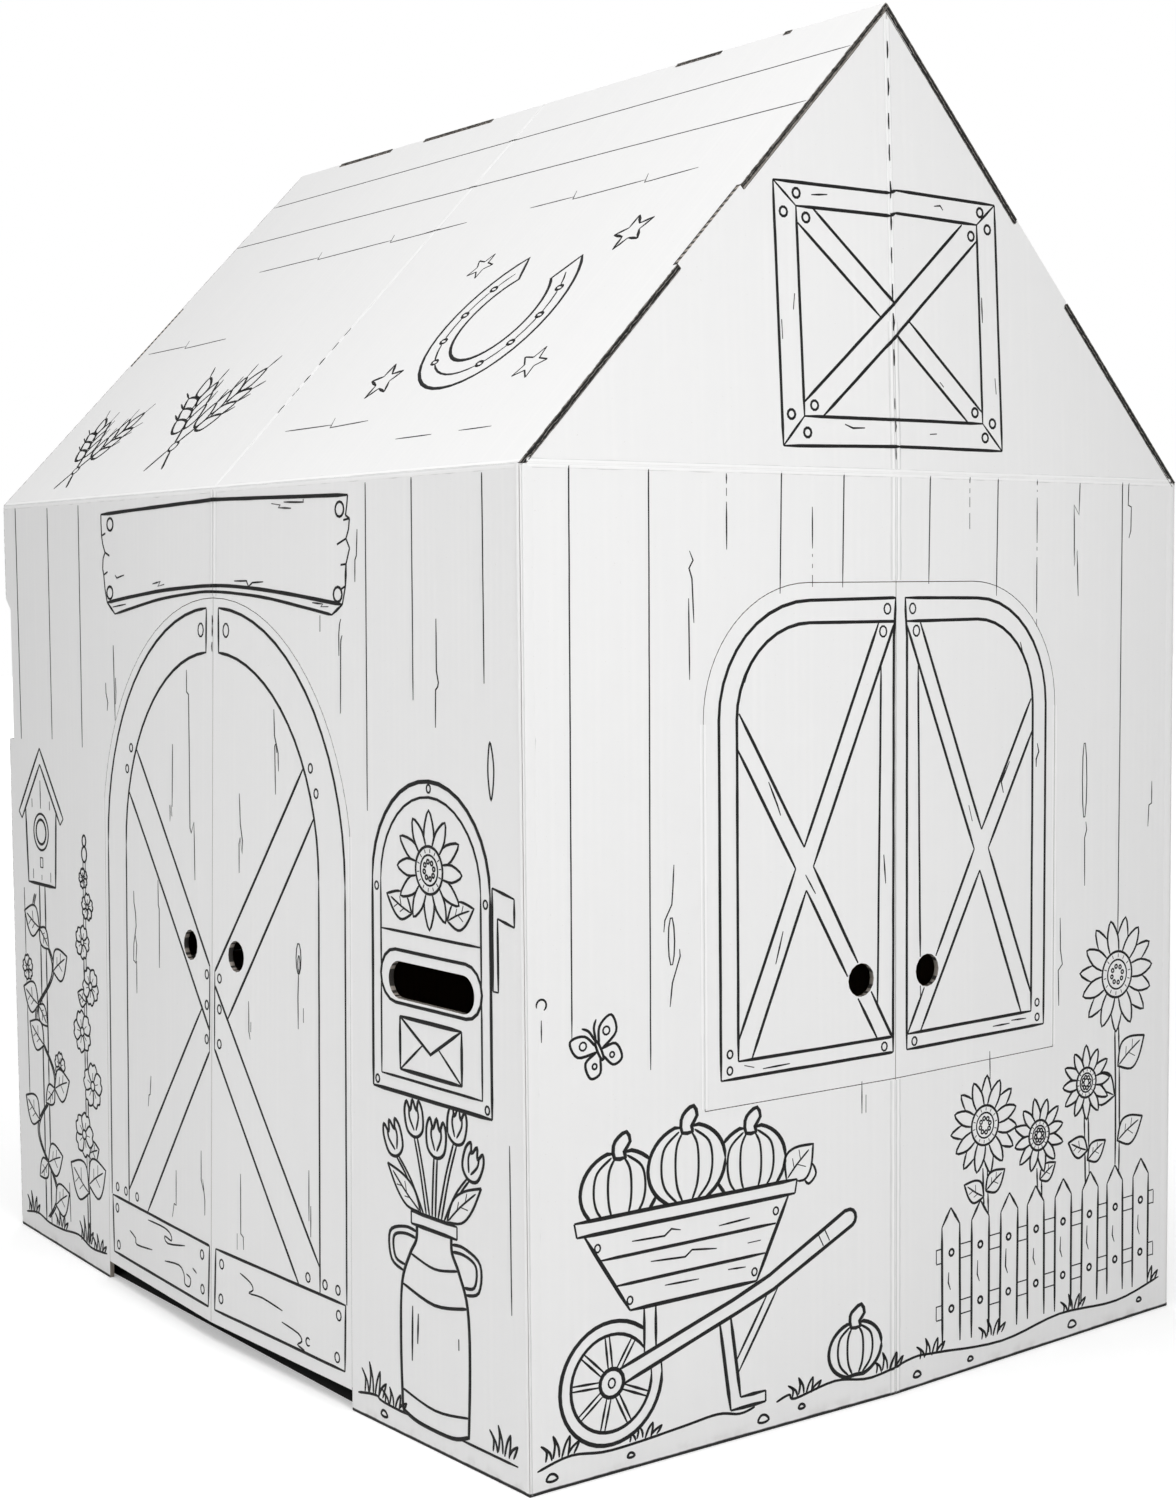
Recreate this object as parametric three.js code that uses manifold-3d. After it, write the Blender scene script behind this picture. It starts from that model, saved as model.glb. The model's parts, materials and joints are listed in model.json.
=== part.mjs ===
// Cardboard playhouse: flat boards joined at their folds, with double arched doors in one
// long side, a shuttered window in each gable end and two roof panels that lock at the ridge.
// Millimetres, +Z up. The ridge runs along Y and the house stands on z = 0, centred on the origin.
import * as THREE from 'three';
import { mergeVertices } from 'three/addons/utils/BufferGeometryUtils.js';
import Module from 'manifold-3d';

const wasm = await Module();
wasm.setup();

// Driving dimensions of the house
const gableWidth = 660;
const sideLength = 845;
const wallHeight = 690;
const ridgeRise = 340;
const board = 4;

// How far the middle fold of a gable stands out past its corners, and how far the middle
// fold of a long wall stands out at its foot, from nothing at the eaves
const gableBulge = 11;
const longWallBow = 18;

// Clearances: between panels at a fold, between boards that lie on each other,
// around a cut leaf, beside a tab, and the overrun of a cutting wedge
const creaseGap = 0.4;
const slipGap = 0.3;
const cutGap = 0.6;
const tabGap = 1;
const overrun = 2;

// Arched doorway and its two leaves; the headroom is measured down from the eaves
const doorHalfWidth = 208;
const doorShoulder = 4;
const doorHeadroom = 87;
const doorFloorGap = 15;
const doorHoleInset = 39;

// Windows and their shutters
const windowHalfWidth = 180;
const windowSill = 241;
const windowHeadroom = 79;
const windowCornerRadius = 96;
const shutterHoleInset = 34;

// Finger holes, and the letter slot in the pier between the doorway and the corner
const fingerHoleRadius = 12.5;
const fingerHoleHeight = 319;
const slotPierShare = 0.485;
const slotHeight = 331;
const slotLength = 106;
const slotWidth = 27;

// Ridge tabs: where they lie along half the ridge, how deep they tuck, how much they droop
const ridgeTabShares = [[0.185, 0.452], [0.589, 0.814]];
const ridgeTabDepth = 45;
const ridgeTabTaper = 14;
const ridgeTabDroop = THREE.MathUtils.degToRad(2.5);

// Side tabs of the roof and the flanges of the gables, as shares of the slope
const sideTabShares = [0.403, 0.578];
const sideTabDepth = 50;
const sideTabTaper = 12;
const lowerFlangeShare = 0.074;
const upperFlangeShare = 0.912;
const flangeWidth = 60;
const flangeTaper = 15;

// Glued seam at one corner: flaps inside the door wall, and the gap cut between them
const seamFlapWidth = 38;
const seamFlapTaper = 8;
const seamFlapEnd = 30;
const seamNotchHeadroom = 88;
const seamNotchHeight = 132;
const seamNotchDepth = 10;

// Worked out from the driving dimensions
const slopeAngle = Math.atan2(ridgeRise, gableWidth / 2);
const slopeLength = Math.hypot(ridgeRise, gableWidth / 2);
const halfWidth = gableWidth / 2;
const halfLength = sideLength / 2;
const gableFold = Math.atan(gableBulge / halfWidth);
const gableSlack = Math.hypot(halfWidth, gableBulge) - halfWidth;
const gableTopTilt = Math.asin(gableBulge / (halfWidth * Math.sin(slopeAngle)));
const eavesBevel = (Math.PI / 2 - slopeAngle) / 2;
const cornerBevel = Math.PI / 4;
const tuckFold = 2 * slopeAngle + ridgeTabDroop;
const underRoof = board + slipGap;
const slotCentre = doorHalfWidth + slotPierShare * (halfLength - doorHalfWidth);
const seamNotchHigh = wallHeight - seamNotchHeadroom;
const seamNotchLow = seamNotchHigh - seamNotchHeight;
const sideTabRange = sideTabShares.map((share) => share * slopeLength);
const creaseInset = (bevel) => creaseGap / 2 / Math.cos(bevel);

// The white printed face of the board
const whiteBoard = () => new THREE.MeshStandardMaterial({
  color: 0xe9e8e4,
  roughness: 0.85,
  metalness: 0,
});

// The plain board of tabs and flanges, tucked out of sight
const plainBoard = () => new THREE.MeshStandardMaterial({
  color: 0xb9986c,
  roughness: 0.9,
  metalness: 0,
});

const point = (x, z) => new THREE.Vector2(x, z);

// Points along an arc from one angle to another, both included
const arcSteps = 16;
function arc(centreX, centreZ, radius, startAngle, endAngle) {
  const points = [];
  for (let step = 0; step <= arcSteps; step += 1) {
    const angle = startAngle + ((endAngle - startAngle) * step) / arcSteps;
    points.push(point(centreX + radius * Math.cos(angle), centreZ + radius * Math.sin(angle)));
  }
  return points;
}

// A closed mesh as a solid that can be cut
function toSolid(geometry) {
  const bare = geometry.clone();
  bare.deleteAttribute('normal');
  bare.deleteAttribute('uv');
  const merged = mergeVertices(bare);
  return new wasm.Manifold(new wasm.Mesh({
    numProp: 3,
    vertProperties: new Float32Array(merged.attributes.position.array),
    triVerts: new Uint32Array(merged.index.array),
  }));
}

function toGeometry(solid) {
  const { vertProperties, triVerts } = solid.getMesh();
  const geometry = new THREE.BufferGeometry();
  geometry.setAttribute('position', new THREE.BufferAttribute(vertProperties, 3));
  geometry.setIndex(new THREE.BufferAttribute(triVerts, 1));
  const flat = geometry.toNonIndexed();
  flat.computeVertexNormals();
  return flat;
}

// A wedge that trims one edge of a board. The edge runs from one outline point to the next
// with the board on its left. At depth y under the outer face the board is cut back by
// inset + y * tan(bevel). The ends run over unless the wedge stops inside the edge.
function edgeWedge({ from, to, bevel = 0, inset = 0, startOver = overrun, endOver = overrun }) {
  const along = to.clone().sub(from).normalize();
  const inward = point(-along.y, along.x);
  const slant = Math.tan(bevel);
  const top = -overrun;
  const bottom = board + overrun;
  const outside = -overrun - Math.abs(slant) * bottom;
  const section = new THREE.Shape([
    point(outside, top),
    point(inset + top * slant, top),
    point(inset + bottom * slant, bottom),
    point(outside, bottom),
  ]);
  const length = from.distanceTo(to) + startOver + endOver;
  const wedge = new THREE.ExtrudeGeometry(section, { depth: length, bevelEnabled: false });
  const start = to.clone().addScaledVector(along, endOver);
  wedge.applyMatrix4(new THREE.Matrix4().makeBasis(
    new THREE.Vector3(inward.x, 0, inward.y),
    new THREE.Vector3(0, 1, 0),
    new THREE.Vector3(-along.x, 0, -along.y),
  ).setPosition(start.x, 0, start.y));
  return toSolid(wedge);
}

// The same board seen in a mirror: outline, holes and trimmed edges change sides
function mirrored({ outline, holes = [], edges = [], bowed = false }) {
  const flip = (p) => point(-p.x, p.y);
  const flipAll = (points) => points.map(flip).reverse();
  return {
    bowed,
    outline: flipAll(outline),
    holes: holes.map(flipAll),
    edges: edges.map((edge) => ({
      ...edge,
      from: flip(edge.to),
      to: flip(edge.from),
      startOver: edge.endOver,
      endOver: edge.startOver,
    })),
  };
}

// How far a long wall comes forward at a place, from its middle fold and up from the floor
const bowAt = (x, z) => longWallBow * (1 - Math.abs(x) / halfLength) * (1 - z / wallHeight);

// A sheet of small flats, as thick as the board, that follows the bow past an outline
const bowFlats = 8;
function bowedSheet(outline) {
  const { min, max } = new THREE.Box2().setFromPoints(outline).expandByScalar(overrun);
  const sheet = new THREE.BoxGeometry(
    max.x - min.x, board, max.y - min.y, bowFlats, 1, bowFlats,
  );
  sheet.translate((min.x + max.x) / 2, board / 2, (min.y + max.y) / 2);
  const { position } = sheet.attributes;
  for (let index = 0; index < position.count; index += 1) {
    const bow = bowAt(position.getX(index), position.getZ(index));
    position.setY(index, position.getY(index) - bow);
  }
  return toSolid(sheet);
}

// An outline with its holes, pulled from one depth to a deeper one
function pulled(outline, holes, fromDepth, toDepth) {
  const shape = new THREE.Shape(outline);
  shape.holes = holes.map((hole) => new THREE.Path(hole));
  const block = new THREE.ExtrudeGeometry(shape, {
    depth: toDepth - fromDepth,
    bevelEnabled: false,
  });
  block.rotateX(Math.PI / 2);
  block.translate(0, toDepth, 0);
  return toSolid(block);
}

// One board: its outline is in x and z, its outer face is y = 0 and its inner y = board. A
// bowed board comes forward from there.
function boardMesh(name, { outline, holes = [], edges = [], bowed }, material = whiteBoard()) {
  const blank = bowed
    ? bowedSheet(outline).intersect(
      pulled(outline, holes, -longWallBow - overrun, board + overrun),
    )
    : pulled(outline, holes, 0, board);
  const solid = edges.reduce((cut, edge) => cut.subtract(edgeWedge(edge)), blank);
  const mesh = new THREE.Mesh(toGeometry(solid), material);
  mesh.name = name;
  return mesh;
}

// A left and a right board, named as seen from outside the house
function boardPair(name, right, ending = '') {
  return [
    boardMesh(`${name}_left${ending}`, mirrored(right)),
    boardMesh(`${name}_right${ending}`, right),
  ];
}

// Half of an opening, from the centre line to the hinge line, drawn from its foot upwards.
// An opening that is inset by the cut's width is the outline of the leaf that fills it.
function openingHalf({ halfOpening, foot, top, radius }, inset, centreX) {
  const arcCentreX = Math.max(0, halfOpening - radius);
  const arcCentreZ = top - radius;
  const arcRadius = radius - inset;
  const hingeX = halfOpening - inset;
  const startAngle = Math.acos(Math.min(1, (hingeX - arcCentreX) / arcRadius));
  const endAngle = arcCentreX > centreX
    ? Math.PI / 2
    : Math.acos((centreX - arcCentreX) / arcRadius);
  const curve = arc(arcCentreX, arcCentreZ, arcRadius, startAngle, endAngle);
  const crown = arcCentreX > centreX ? [point(centreX, top - inset)] : [];
  return [point(hingeX, foot), ...curve, ...crown];
}

const doorway = {
  halfOpening: doorHalfWidth,
  foot: 0,
  top: wallHeight - doorHeadroom,
  radius: doorHalfWidth + doorShoulder,
};

const windowOpening = {
  halfOpening: windowHalfWidth,
  foot: windowSill,
  top: wallHeight - windowHeadroom,
  radius: Math.min(windowCornerRadius, windowHalfWidth),
};

// A round hole through a board, drawn clockwise
const fingerHole = (inset) => arc(inset, fingerHoleHeight, fingerHoleRadius, 0, -2 * Math.PI)
  .slice(0, -1);

// A leaf that fills half of an opening, from its foot to the top of the arch. Where the
// middle fold stands out, the leaf is longer by the slack of its wall.
function leaf(opening, foot, holeInset, slack) {
  const centreX = cutGap / 2 - slack;
  const arch = openingHalf({ ...opening, foot }, cutGap, centreX);
  return {
    outline: [point(centreX, foot), ...arch],
    holes: [fingerHole(holeInset)],
  };
}

// Folds of a wall's outer edges, which meet the next wall or the roof at a mitre
const cornerFold = (from, to) => ({
  from, to, bevel: cornerBevel, inset: creaseInset(cornerBevel),
});
const eavesFold = (from, to) => ({
  from, to, bevel: eavesBevel, inset: creaseInset(eavesBevel),
});
const middleFold = (from, to) => ({
  from, to, bevel: gableFold, inset: creaseInset(gableFold),
});

// The right half of a gable wall, with half of the window and a nick for the roof's fold
function gableWallHalf(edgeX, outerFolds) {
  const centreX = -gableSlack;
  const top = wallHeight - creaseGap / 2;
  const nickX = halfWidth - underRoof / Math.sin(slopeAngle);
  const nickZ = wallHeight - board * Math.tan(eavesBevel) - slipGap;
  const arch = openingHalf(windowOpening, 0, centreX).reverse();
  return {
    outline: [
      point(centreX, 0), point(edgeX, 0), point(edgeX, nickZ), point(nickX, nickZ),
      point(nickX, top), point(centreX, top), ...arch, point(centreX, windowSill),
    ],
    edges: [...outerFolds, middleFold(point(centreX, top), point(centreX, 0))],
  };
}

// The glued corner: this gable wall stops inside the door wall, and its two seam flaps
// turn in there, one below and one above the gap in the seam
const seamX = halfWidth - underRoof;
const seamFlapRanges = [
  ['lower', seamFlapEnd, seamNotchLow],
  ['upper', seamNotchHigh, wallHeight - seamFlapEnd],
];

const seamFolds = seamFlapRanges.map(([, low, high]) => ({
  ...cornerFold(point(seamX, low), point(seamX, high)), startOver: 0, endOver: 0,
}));

function seamFlap(low, high) {
  const length = high - low;
  return {
    outline: [
      point(0, 0), point(length, 0),
      point(length - seamFlapTaper, seamFlapWidth), point(seamFlapTaper, seamFlapWidth),
    ],
    edges: [cornerFold(point(0, 0), point(length, 0))],
  };
}

// A point of the right half of a gable: its way up the slope from the eaves, and its depth
// square to the slope under the roof's outer face
const slopePoint = (rise, depth) => point(
  halfWidth - rise * Math.cos(slopeAngle) - depth * Math.sin(slopeAngle),
  wallHeight + rise * Math.sin(slopeAngle) - depth * Math.cos(slopeAngle),
);

const flangeRanges = [
  ['lower', lowerFlangeShare * slopeLength, sideTabRange[0]],
  ['upper', sideTabRange[1], upperFlangeShare * slopeLength],
];

// The right half of a gable's triangle. A tongue in mid-slope reaches the roof's outer face
// between the two flanges.
function gableTopHalf() {
  const foot = wallHeight + creaseGap / 2;
  const footRise = (creaseGap / 2 + underRoof * Math.cos(slopeAngle)) / Math.sin(slopeAngle);
  const peakRise = (halfWidth - underRoof * Math.sin(slopeAngle)) / Math.cos(slopeAngle);
  const peak = slopePoint(peakRise, underRoof);
  const tongueStart = sideTabRange[0] + tabGap;
  const tongueEnd = sideTabRange[1] - tabGap;
  return {
    outline: [
      point(0, foot), slopePoint(footRise, underRoof),
      slopePoint(tongueStart, underRoof), slopePoint(tongueStart, 0),
      slopePoint(tongueEnd, 0), slopePoint(tongueEnd, underRoof),
      peak,
    ],
    edges: [
      middleFold(peak, point(0, foot)),
      ...flangeRanges.map(([, start, end]) => ({
        ...cornerFold(slopePoint(start, underRoof), slopePoint(end, underRoof)),
        startOver: 0,
        endOver: 0,
      })),
    ],
  };
}

// A flange that turns in under the roof, drawn with its fold along x and the ridge at -x
function flange(start, end) {
  return {
    outline: [
      point(-end, 0), point(-start, 0),
      point(-start - flangeTaper, flangeWidth), point(-end + flangeTaper, flangeWidth),
    ],
    edges: [cornerFold(point(-end, 0), point(-start, 0))],
  };
}

// Sets a board so that its x and z follow two directions, from a point on its outer face
function place(mesh, origin, xDirection, zDirection) {
  const yDirection = zDirection.clone().cross(xDirection);
  mesh.setRotationFromMatrix(
    new THREE.Matrix4().makeBasis(xDirection, yDirection, zDirection),
  );
  mesh.position.copy(origin);
  return mesh;
}

// The flanges of one gable, in the frame of its wall: outer face at y = 0, inwards along +y
function gableFlanges(name) {
  const inwards = new THREE.Vector3(0, 1, 0);
  const eaves = slopePoint(0, underRoof);
  return flangeRanges.flatMap(([level, start, end]) => [-1, 1].map((side) => {
    const right = side > 0;
    const spec = right ? flange(start, end) : mirrored(flange(start, end));
    const label = `${name}_flange_${right ? 'right' : 'left'}_${level}`;
    const downSlope = new THREE.Vector3(Math.cos(slopeAngle), 0, -side * Math.sin(slopeAngle));
    return place(
      boardMesh(label, spec, plainBoard()),
      new THREE.Vector3(side * eaves.x, 0, eaves.y),
      downSlope,
      inwards,
    );
  }));
}

// Turns boards about an axis through the eaves' corner on one side of a gable
function turnedAtCorner(side, axis, angle, meshes) {
  const boards = new THREE.Group();
  boards.add(...meshes);
  boards.position.set(-side * halfWidth, 0, -wallHeight);
  const corner = new THREE.Group();
  corner.add(boards);
  corner.position.set(side * halfWidth, 0, wallHeight);
  corner.setRotationFromAxisAngle(axis, side * angle);
  return corner;
}

// One gable end: two wall halves, two shutters, two halves of the triangle and its flanges.
// The walls turn out about their corners and the triangles about the slopes above them.
function gableEnd(name, turn, seamed) {
  const end = new THREE.Group();
  const cornerFolds = [cornerFold(point(halfWidth, 0), point(halfWidth, wallHeight))];
  const plainHalf = gableWallHalf(halfWidth, cornerFolds);
  const seamHalf = gableWallHalf(seamX, seamFolds);
  const shutter = leaf(windowOpening, windowSill + cutGap, shutterHoleInset, gableSlack);
  const walls = [
    boardMesh(`${name}_gable_wall_left`, mirrored(plainHalf)),
    boardMesh(`${name}_gable_wall_right`, seamed ? seamHalf : plainHalf),
  ];
  const shutters = boardPair(`${name}_shutter`, shutter);
  const tops = boardPair(`${name}_gable_top`, gableTopHalf());
  [-1, 1].forEach((side, index) => {
    const upright = new THREE.Vector3(0, 0, 1);
    const upSlope = new THREE.Vector3(-side * Math.cos(slopeAngle), 0, Math.sin(slopeAngle));
    end.add(
      turnedAtCorner(side, upright, gableFold, [walls[index], shutters[index]]),
      turnedAtCorner(side, upSlope, gableTopTilt, [tops[index]]),
    );
  });
  end.add(...gableFlanges(`${name}_gable`));
  end.position.set(0, -halfLength, 0);
  const turned = new THREE.Group();
  turned.add(end);
  turned.rotation.z = turn;
  return turned;
}

// Seam flaps stand inside the door wall's left edge, in the frame of that wall
function seamFlaps() {
  return seamFlapRanges.map(([level, low, high]) => place(
    boardMesh(`seam_flap_${level}`, seamFlap(low, high), plainBoard()),
    new THREE.Vector3(-halfLength, underRoof, high),
    new THREE.Vector3(0, 0, -1),
    new THREE.Vector3(1, 0, 0),
  ));
}

// The right half of a long wall, with or without half of the doorway
function longWallHalf(hasDoor) {
  const centreX = creaseGap / 2;
  const arch = hasDoor ? openingHalf(doorway, 0, centreX).reverse() : [point(centreX, 0)];
  return {
    bowed: true,
    outline: [
      ...arch, point(halfLength, 0), point(halfLength, wallHeight), point(centreX, wallHeight),
    ],
    edges: [
      cornerFold(point(halfLength, 0), point(halfLength, wallHeight)),
      eavesFold(point(halfLength, wallHeight), point(centreX, wallHeight)),
    ],
  };
}

// The letter slot: a long hole with round ends, drawn clockwise
function letterSlot() {
  const endRadius = slotWidth / 2;
  const reach = slotLength / 2 - endRadius;
  return [
    ...arc(slotCentre - reach, slotHeight, endRadius, -Math.PI / 2, -Math.PI * 1.5),
    ...arc(slotCentre + reach, slotHeight, endRadius, Math.PI / 2, -Math.PI / 2),
  ];
}

// The door wall's left half ends square at the glued seam, cut back between the flaps
function seamedWallHalf(hasDoor) {
  const wall = longWallHalf(hasDoor);
  const [, foldAtEaves] = wall.edges;
  const cutBack = halfLength - seamNotchDepth;
  const outline = wall.outline.flatMap((p) => {
    const isTopCorner = p.x === halfLength && p.y === wallHeight;
    if (!isTopCorner) return [p];
    return [
      point(halfLength, seamNotchLow), point(cutBack, seamNotchLow),
      point(cutBack, seamNotchHigh - seamNotchDepth), point(halfLength, seamNotchHigh), p,
    ];
  });
  return mirrored({ outline, edges: [foldAtEaves], bowed: true });
}

// Right half of a roof panel. Its side tab is folded down at mid-slope, and at the ridge it
// meets the other panel at a mitre, lies over that panel's tabs, or stops at its own tabs.
const tabRanges = ridgeTabShares.map((shares) => shares.map((share) => share * halfLength));
const tuckRecess = underRoof / Math.sin(2 * slopeAngle);

function roofHalf(ownTabs) {
  const centreX = creaseGap / 2;
  const [tabStart, tabEnd] = sideTabRange;
  const notchX = halfLength - underRoof;
  const outline = [
    point(centreX, 0), point(halfLength, 0), point(halfLength, tabStart),
    point(notchX, tabStart), point(notchX, tabEnd), point(halfLength, tabEnd),
    point(halfLength, slopeLength), point(centreX, slopeLength),
  ];
  const ridgeEdge = (start, end, trim) => ({
    from: point(end, slopeLength),
    to: point(start, slopeLength),
    startOver: 0,
    endOver: 0,
    ...trim,
  });
  const mitre = { bevel: slopeAngle, inset: creaseInset(slopeAngle) };
  const ownTab = { bevel: tuckFold / 2, inset: tuckRecess + creaseInset(tuckFold / 2) };
  const overTab = { bevel: Math.max(0, 2 * slopeAngle - Math.PI / 2), inset: 0 };
  const stops = [
    centreX - overrun, ...tabRanges.flat(), halfLength + overrun,
  ];
  const ridge = stops.slice(1).map((end, index) => {
    const isTab = index % 2 === 1;
    const tabTrim = ownTabs ? ownTab : overTab;
    return ridgeEdge(stops[index], end, isTab ? tabTrim : mitre);
  });
  return {
    outline,
    edges: [
      eavesFold(point(centreX, 0), point(halfLength, 0)),
      {
        ...cornerFold(point(notchX, tabStart), point(notchX, tabEnd)), startOver: 0, endOver: 0,
      },
      ...ridge,
    ],
  };
}

// A tab that folds over the ridge and tucks under the other roof panel
function ridgeTab(start, end) {
  const fold = { bevel: tuckFold / 2, inset: creaseInset(tuckFold / 2) };
  const [low, high] = [start + tabGap, end - tabGap];
  return {
    outline: [
      point(low, 0), point(high, 0),
      point(high - ridgeTabTaper, ridgeTabDepth), point(low + ridgeTabTaper, ridgeTabDepth),
    ],
    edges: [{ from: point(low, 0), to: point(high, 0), ...fold }],
  };
}

// A tab that folds down from the right side edge of the roof, behind the gable's tongue
function sideTab() {
  const [start, end] = [sideTabRange[0] + tabGap, sideTabRange[1] - tabGap];
  return {
    outline: [
      point(-end, 0), point(-start, 0),
      point(-start - sideTabTaper, sideTabDepth), point(-end + sideTabTaper, sideTabDepth),
    ],
    edges: [cornerFold(point(-end, 0), point(-start, 0))],
  };
}

// One roof panel in two halves with its tabs, in the frame of the slope: outer face at y = 0,
// the eaves at z = 0 and the ridge at z = slopeLength. Its own ridge tabs are on the left half.
function roofPanel(name) {
  const panel = new THREE.Group();
  panel.add(
    boardMesh(`${name}_roof_left`, mirrored(roofHalf(true))),
    boardMesh(`${name}_roof_right`, roofHalf(false)),
  );
  tabRanges.forEach(([start, end], index) => {
    const tab = boardMesh(
      `${name}_roof_ridge_tab_${index + 1}`, mirrored(ridgeTab(start, end)), plainBoard(),
    );
    tab.position.z = slopeLength - tuckRecess;
    tab.rotation.x = -tuckFold;
    panel.add(tab);
  });
  [-1, 1].forEach((side) => {
    const right = side > 0;
    panel.add(place(
      boardMesh(
        `${name}_roof_side_tab_${right ? 'right' : 'left'}`,
        right ? sideTab() : mirrored(sideTab()),
        plainBoard(),
      ),
      new THREE.Vector3(side * (halfLength - underRoof), 0, 0),
      new THREE.Vector3(0, 0, -side),
      new THREE.Vector3(0, 1, 0),
    ));
  });
  panel.position.z = wallHeight;
  panel.rotation.x = slopeAngle - Math.PI / 2;
  return panel;
}

// One long side: two wall halves and the roof panel above them, in the frame of the wall
function longSide(name, turn, walls, extras) {
  const side = new THREE.Group();
  side.add(...walls, roofPanel(name), ...extras);
  side.position.set(0, -halfWidth, 0);
  const turned = new THREE.Group();
  turned.add(side);
  turned.rotation.z = turn;
  return turned;
}

const doorWallRight = { ...longWallHalf(true), holes: [letterSlot()] };
const doorLeaf = { ...leaf(doorway, doorFloorGap, doorHoleInset, 0), bowed: true };

const playhouse = new THREE.Group();
playhouse.add(
  gableEnd('near', 0, false),
  gableEnd('far', Math.PI, true),
  longSide('door', -Math.PI / 2, [
    boardMesh('door_wall_left', seamedWallHalf(true)),
    boardMesh('door_wall_right', doorWallRight),
  ], [
    ...boardPair('door', doorLeaf, '_leaf'),
    ...seamFlaps(),
  ]),
  longSide('back', Math.PI / 2, boardPair('back_wall', longWallHalf(false)), []),
);

export default playhouse;
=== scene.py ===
# %% [markdown]
# # A cardboard playhouse
#
# The real house is one large sheet of corrugated board. It is printed flat with black line
# drawings, creased, cut, and folded up into four walls and a roof. This lesson dresses its
# boards in the same order: the paper first, then the folds and the raw edges, then the print,
# and at the end the light and the camera. Nearly everything is drawn flat, in millimetres on
# the sheet, and is then folded onto the walls by one short formula for each of them.

import json
import math

import bmesh
import bpy
import numpy as np
from mathutils import Matrix, Vector


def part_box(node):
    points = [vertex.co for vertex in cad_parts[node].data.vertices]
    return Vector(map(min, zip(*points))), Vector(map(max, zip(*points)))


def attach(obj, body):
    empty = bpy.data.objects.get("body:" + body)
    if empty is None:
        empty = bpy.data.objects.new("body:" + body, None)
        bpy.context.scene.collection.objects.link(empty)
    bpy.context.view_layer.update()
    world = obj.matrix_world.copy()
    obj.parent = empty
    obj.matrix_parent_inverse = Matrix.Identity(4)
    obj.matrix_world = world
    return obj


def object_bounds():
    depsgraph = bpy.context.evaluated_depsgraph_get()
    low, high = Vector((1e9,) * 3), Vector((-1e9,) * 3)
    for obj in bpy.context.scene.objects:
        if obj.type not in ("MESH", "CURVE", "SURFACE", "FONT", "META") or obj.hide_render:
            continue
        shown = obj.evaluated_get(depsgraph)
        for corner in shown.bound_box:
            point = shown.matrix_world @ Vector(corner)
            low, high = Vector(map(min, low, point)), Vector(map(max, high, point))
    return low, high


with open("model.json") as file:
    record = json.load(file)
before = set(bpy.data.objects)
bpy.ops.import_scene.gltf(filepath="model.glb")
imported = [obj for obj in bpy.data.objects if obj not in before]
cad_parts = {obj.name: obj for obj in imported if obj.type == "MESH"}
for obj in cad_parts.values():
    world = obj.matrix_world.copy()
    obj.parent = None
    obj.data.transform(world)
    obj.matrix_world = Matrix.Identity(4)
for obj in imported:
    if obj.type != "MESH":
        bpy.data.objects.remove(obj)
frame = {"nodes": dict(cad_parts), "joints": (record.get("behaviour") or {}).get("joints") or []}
cad_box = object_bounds()
nodes = frame["nodes"]
joints = {joint["name"]: joint for joint in frame["joints"]}
MM = 0.001
print("boards:", len(nodes), "joints:", len(joints))

# %% [markdown]
# ## Measures
#
# The boards already stand in their places, so their sizes are read from them and not typed
# again. The long walls bow out towards the floor and the gables stand out at their middle
# fold, and both amounts are read the same way.

# %% Measures of the house, in metres
half_width = abs(joints["door_roof_lift"]["pos_m"][0])
eaves = joints["door_roof_lift"]["pos_m"][2]
ridge = cad_box[1].z
half_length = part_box("door_wall_left")[1].y
rise = ridge - eaves
slope_length = math.hypot(half_width, rise)
gable_fold = -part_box("near_gable_wall_left")[0].y - half_length
wall_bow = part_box("back_wall_left")[1].x - half_width
door_half = abs(joints["door_left_hinge"]["pos_m"][1])
window_half = abs(joints["near_shutter_left_hinge"]["pos_m"][0])
print(f"house {2 * half_width:.3f} x {2 * half_length:.3f} x {ridge:.3f} m")
print(f"eaves at {eaves:.3f} m")
print(f"gable fold {gable_fold / MM:.1f} mm, long wall bow {wall_bow / MM:.1f} mm")

# %% [markdown]
# ## Folding the flat sheet
#
# A drawing has u to the right and v up, seen from outside, and h is the height above the
# paper. Each of these functions takes flat arrays of u, v and h and gives the places on one
# wall. Because the walls are ruled surfaces, a thin line drawn in short steps hugs the board
# even where it bows.


# %% One fold for each kind of wall
def long_wall(side):
    """The door wall is side -1 and the back wall is side 1."""
    def place(u, v, h):
        bow = wall_bow * (1 - np.abs(u) / half_length) * (1 - v / eaves)
        return np.stack([side * (half_width + bow + h), side * u, v], axis=-1)
    return place


def gable(side):
    """The near gable is side -1 and the far gable is side 1. Above the eaves it is a triangle."""
    def place(u, v, h):
        up = np.maximum(0, v - eaves) / rise
        out = gable_fold * (1 - np.abs(u) / half_width - up)
        return np.stack([-side * u, side * (half_length + out + h), v], axis=-1)
    return place


run_share = half_width / slope_length
rise_share = rise / slope_length


def roof(side):
    """The roof over the door wall is side -1. Here v runs up the slope from the eaves."""
    def place(u, v, h):
        x = half_width - v * run_share + h * rise_share
        return np.stack([side * x, side * u, eaves + v * rise_share + h * run_share], axis=-1)
    return place


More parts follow.
